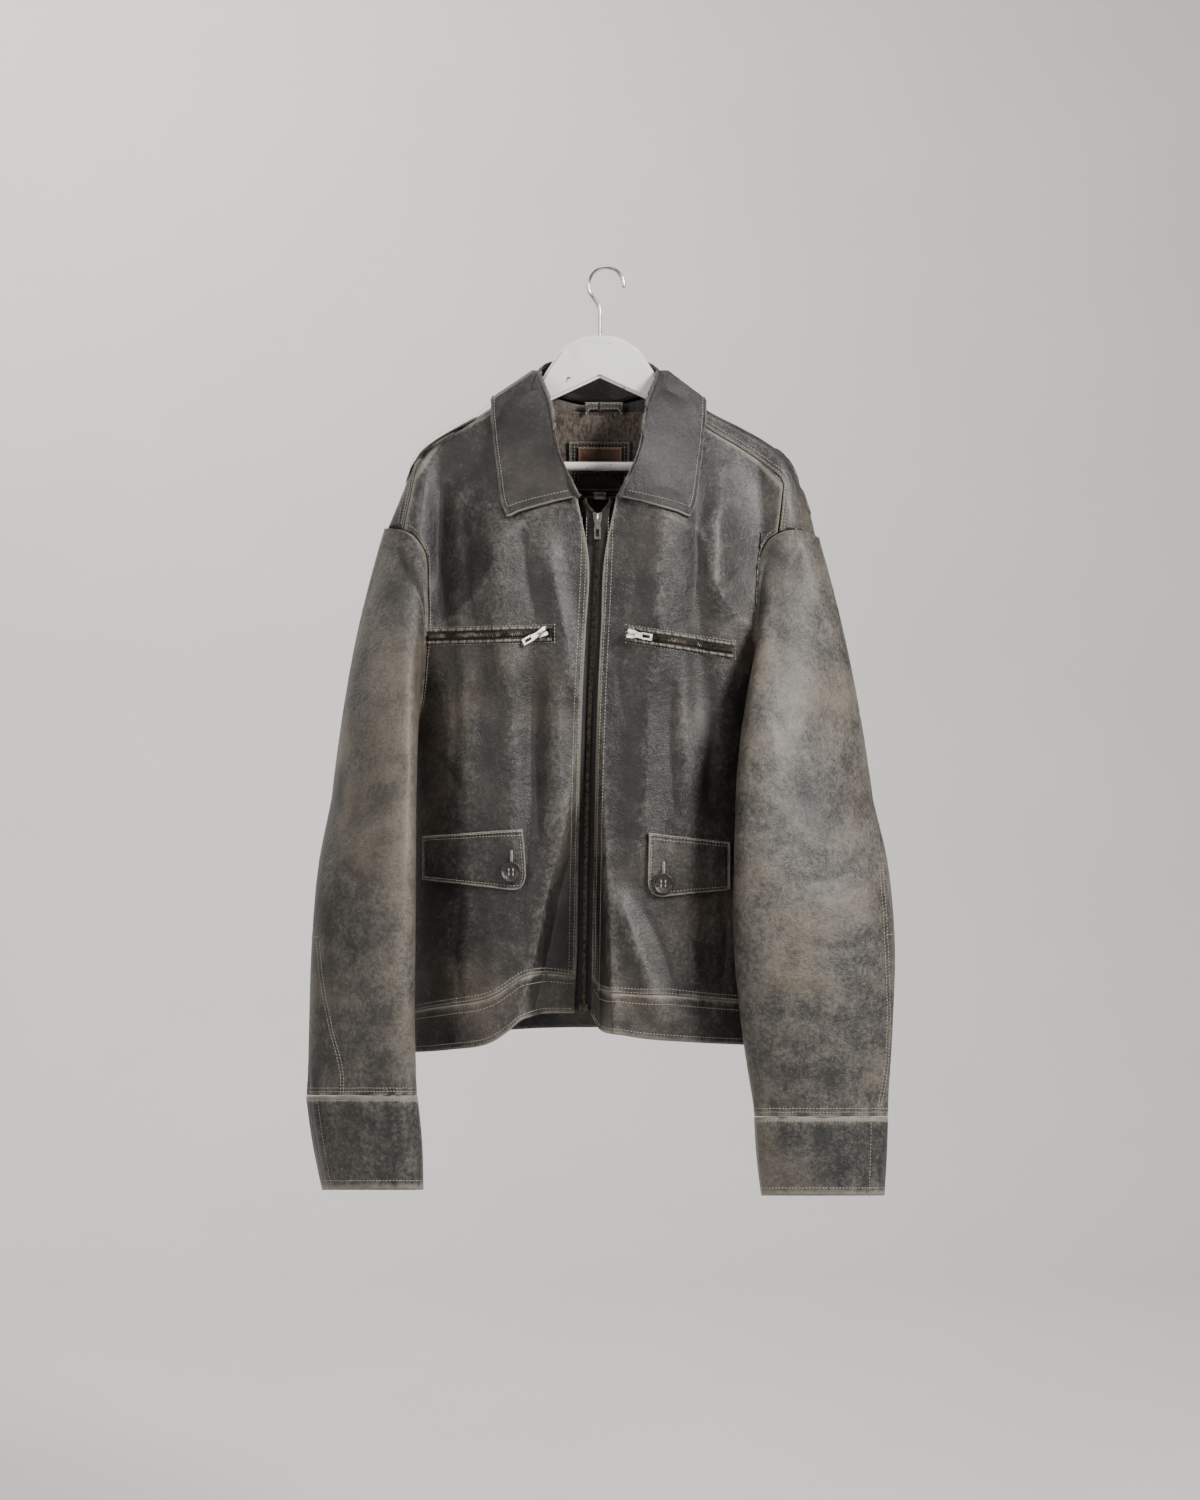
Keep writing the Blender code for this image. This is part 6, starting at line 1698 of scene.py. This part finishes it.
threads("collarThread", [gridPath(collarGrid, collarOut, collarCells, 0.0002)], "collar_leather")
print("thread")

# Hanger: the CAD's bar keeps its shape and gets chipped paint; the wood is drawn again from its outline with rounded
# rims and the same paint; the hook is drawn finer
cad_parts["hanger_bar"].data.materials.clear()
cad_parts["hanger_bar"].data.materials.append(looks["paint"])
woodHalf = [tuple(p) for p in along(woodTop[:3], np.linspace(0, 1, 14))]
woodHalf += [tuple(p) for p in along(woodTop[2:], np.linspace(0, 1, 40))[1:]]
woodHalf += [tuple(p) for p in along(woodBottom, np.linspace(0, 1, 30), smooth=False)]
outline = [(hangerX + x, z) for x, z in woodHalf] + [(hangerX - x, z) for x, z in woodHalf[-2:0:-1]]
wood = plate(outline, -0.006, 0.006, 0.0)
rim = [edge for edge in wood.edges if abs(edge.verts[0].co.z - edge.verts[1].co.z) < 1e-6]
bmesh.ops.bevel(wood, geom=rim, offset=0.0028, segments=4, affect="EDGES")
origin = (np.zeros(3), np.array([1.0, 0, 0]), np.array([0, 0, 1.0]), np.array([0, -1.0, 0]))
woodMade = solidPiece("hangerWood", wood, origin, "paint", ["hanger_wood"], "jacket")
for face in woodMade.data.polygons:
    face.use_smooth = abs(face.normal.y) < 0.995
hookAngles = np.radians(np.linspace(-8, 222, 80))
hookCentre = 0.0019 - 0.0186
hookPath = [(0.0186 * math.cos(a), 0.0, hookCentre + 0.0186 * math.sin(a)) for a in hookAngles]
hookPath += [tuple(p) for p in along([hookPath[-1], (-0.0098, 0, -0.0350), (-0.0073, 0, -0.0395), (hangerX, 0, -0.0450),
                                      (hangerX, 0, -0.052), (hangerX, 0, -0.0885)], np.linspace(0, 1, 40))[1:]]
wire("hangerHook", hookPath, 0.0038, "steel", ["hanger_hook"], "jacket")

# Stage: a pale wall that curves into the floor, soft studio light
stageFacts = {"wallY": 3.6, "floorZ": -1.55, "cove": 1.3, "width": 16.0}
wallLook, wallTree, wallShader, wallPlace = newLook("paleWall", 0.9)
plaster = wallPlace.noise(2.5, 3.0)
wallTree.links.new(plaster.mixed((0.60, 0.595, 0.585, 1), (0.66, 0.655, 0.645, 1)).socket, wallShader.inputs["Base Color"])
profile = [(-14.0, stageFacts["floorZ"])]
for angle in np.linspace(0, math.pi / 2, 24):
    profile.append((stageFacts["wallY"] - stageFacts["cove"] * (1 - math.sin(angle)),
                    stageFacts["floorZ"] + stageFacts["cove"] * (1 - math.cos(angle))))
profile.append((stageFacts["wallY"], 4.0))
half = stageFacts["width"]
wallVerts = [(x, y, z) for y, z in profile for x in (-half, half)]
wallMesh = bpy.data.meshes.new("backdrop")
wallMesh.from_pydata(wallVerts, [], gridFaces(len(profile), 2))
wallMesh.materials.append(wallLook)
wallMesh.shade_smooth()
backdrop = bpy.data.objects.new("backdrop", wallMesh)
bpy.context.collection.objects.link(backdrop)

lights = (
    ("keyLight", (2.0, -1.7, 0.9), 0.9, 150.0, (1.0, 0.985, 0.96)),
    ("fillLight", (-2.2, -2.2, 0.3), 1.8, 52.0, (1.0, 0.955, 0.90)),
    ("topLight", (0.0, -0.4, 2.2), 1.6, 30.0, (1.0, 1.0, 1.0)),
    ("wallLight", (-1.6, 1.6, 1.6), 2.6, 115.0, (1.0, 0.97, 0.93)),
)
for name, place, size, power, colour in lights:
    lamp = bpy.data.lights.new(name, "AREA")
    lamp.size = size
    lamp.energy = power
    lamp.color = colour
    made = bpy.data.objects.new(name, lamp)
    bpy.context.collection.objects.link(made)
    made.location = place
    aim = Vector((0.0, 3.6, -0.2)) if name == "wallLight" else Vector((0.0, 0.0, -0.5))
    made.rotation_euler = (aim - Vector(place)).to_track_quat("-Z", "Y").to_euler()
world = bpy.data.worlds.new("softRoom")
bpy.context.scene.world = world
world.use_nodes = True
world.node_tree.nodes["Background"].inputs[0].default_value = (0.84, 0.835, 0.83, 1)
world.node_tree.nodes["Background"].inputs[1].default_value = 0.20

lensOf = bpy.data.cameras.new("camera")
lensOf.lens = 59.4
lensOf.sensor_width = 36.0
lensOf.clip_end = 50.0
camera = bpy.data.objects.new("camera", lensOf)
bpy.context.collection.objects.link(camera)
camera.location = (eyeX, -eyeDistance, eyeZ)
camera.rotation_euler = (math.radians(90), 0, 0)
bpy.context.scene.camera = camera
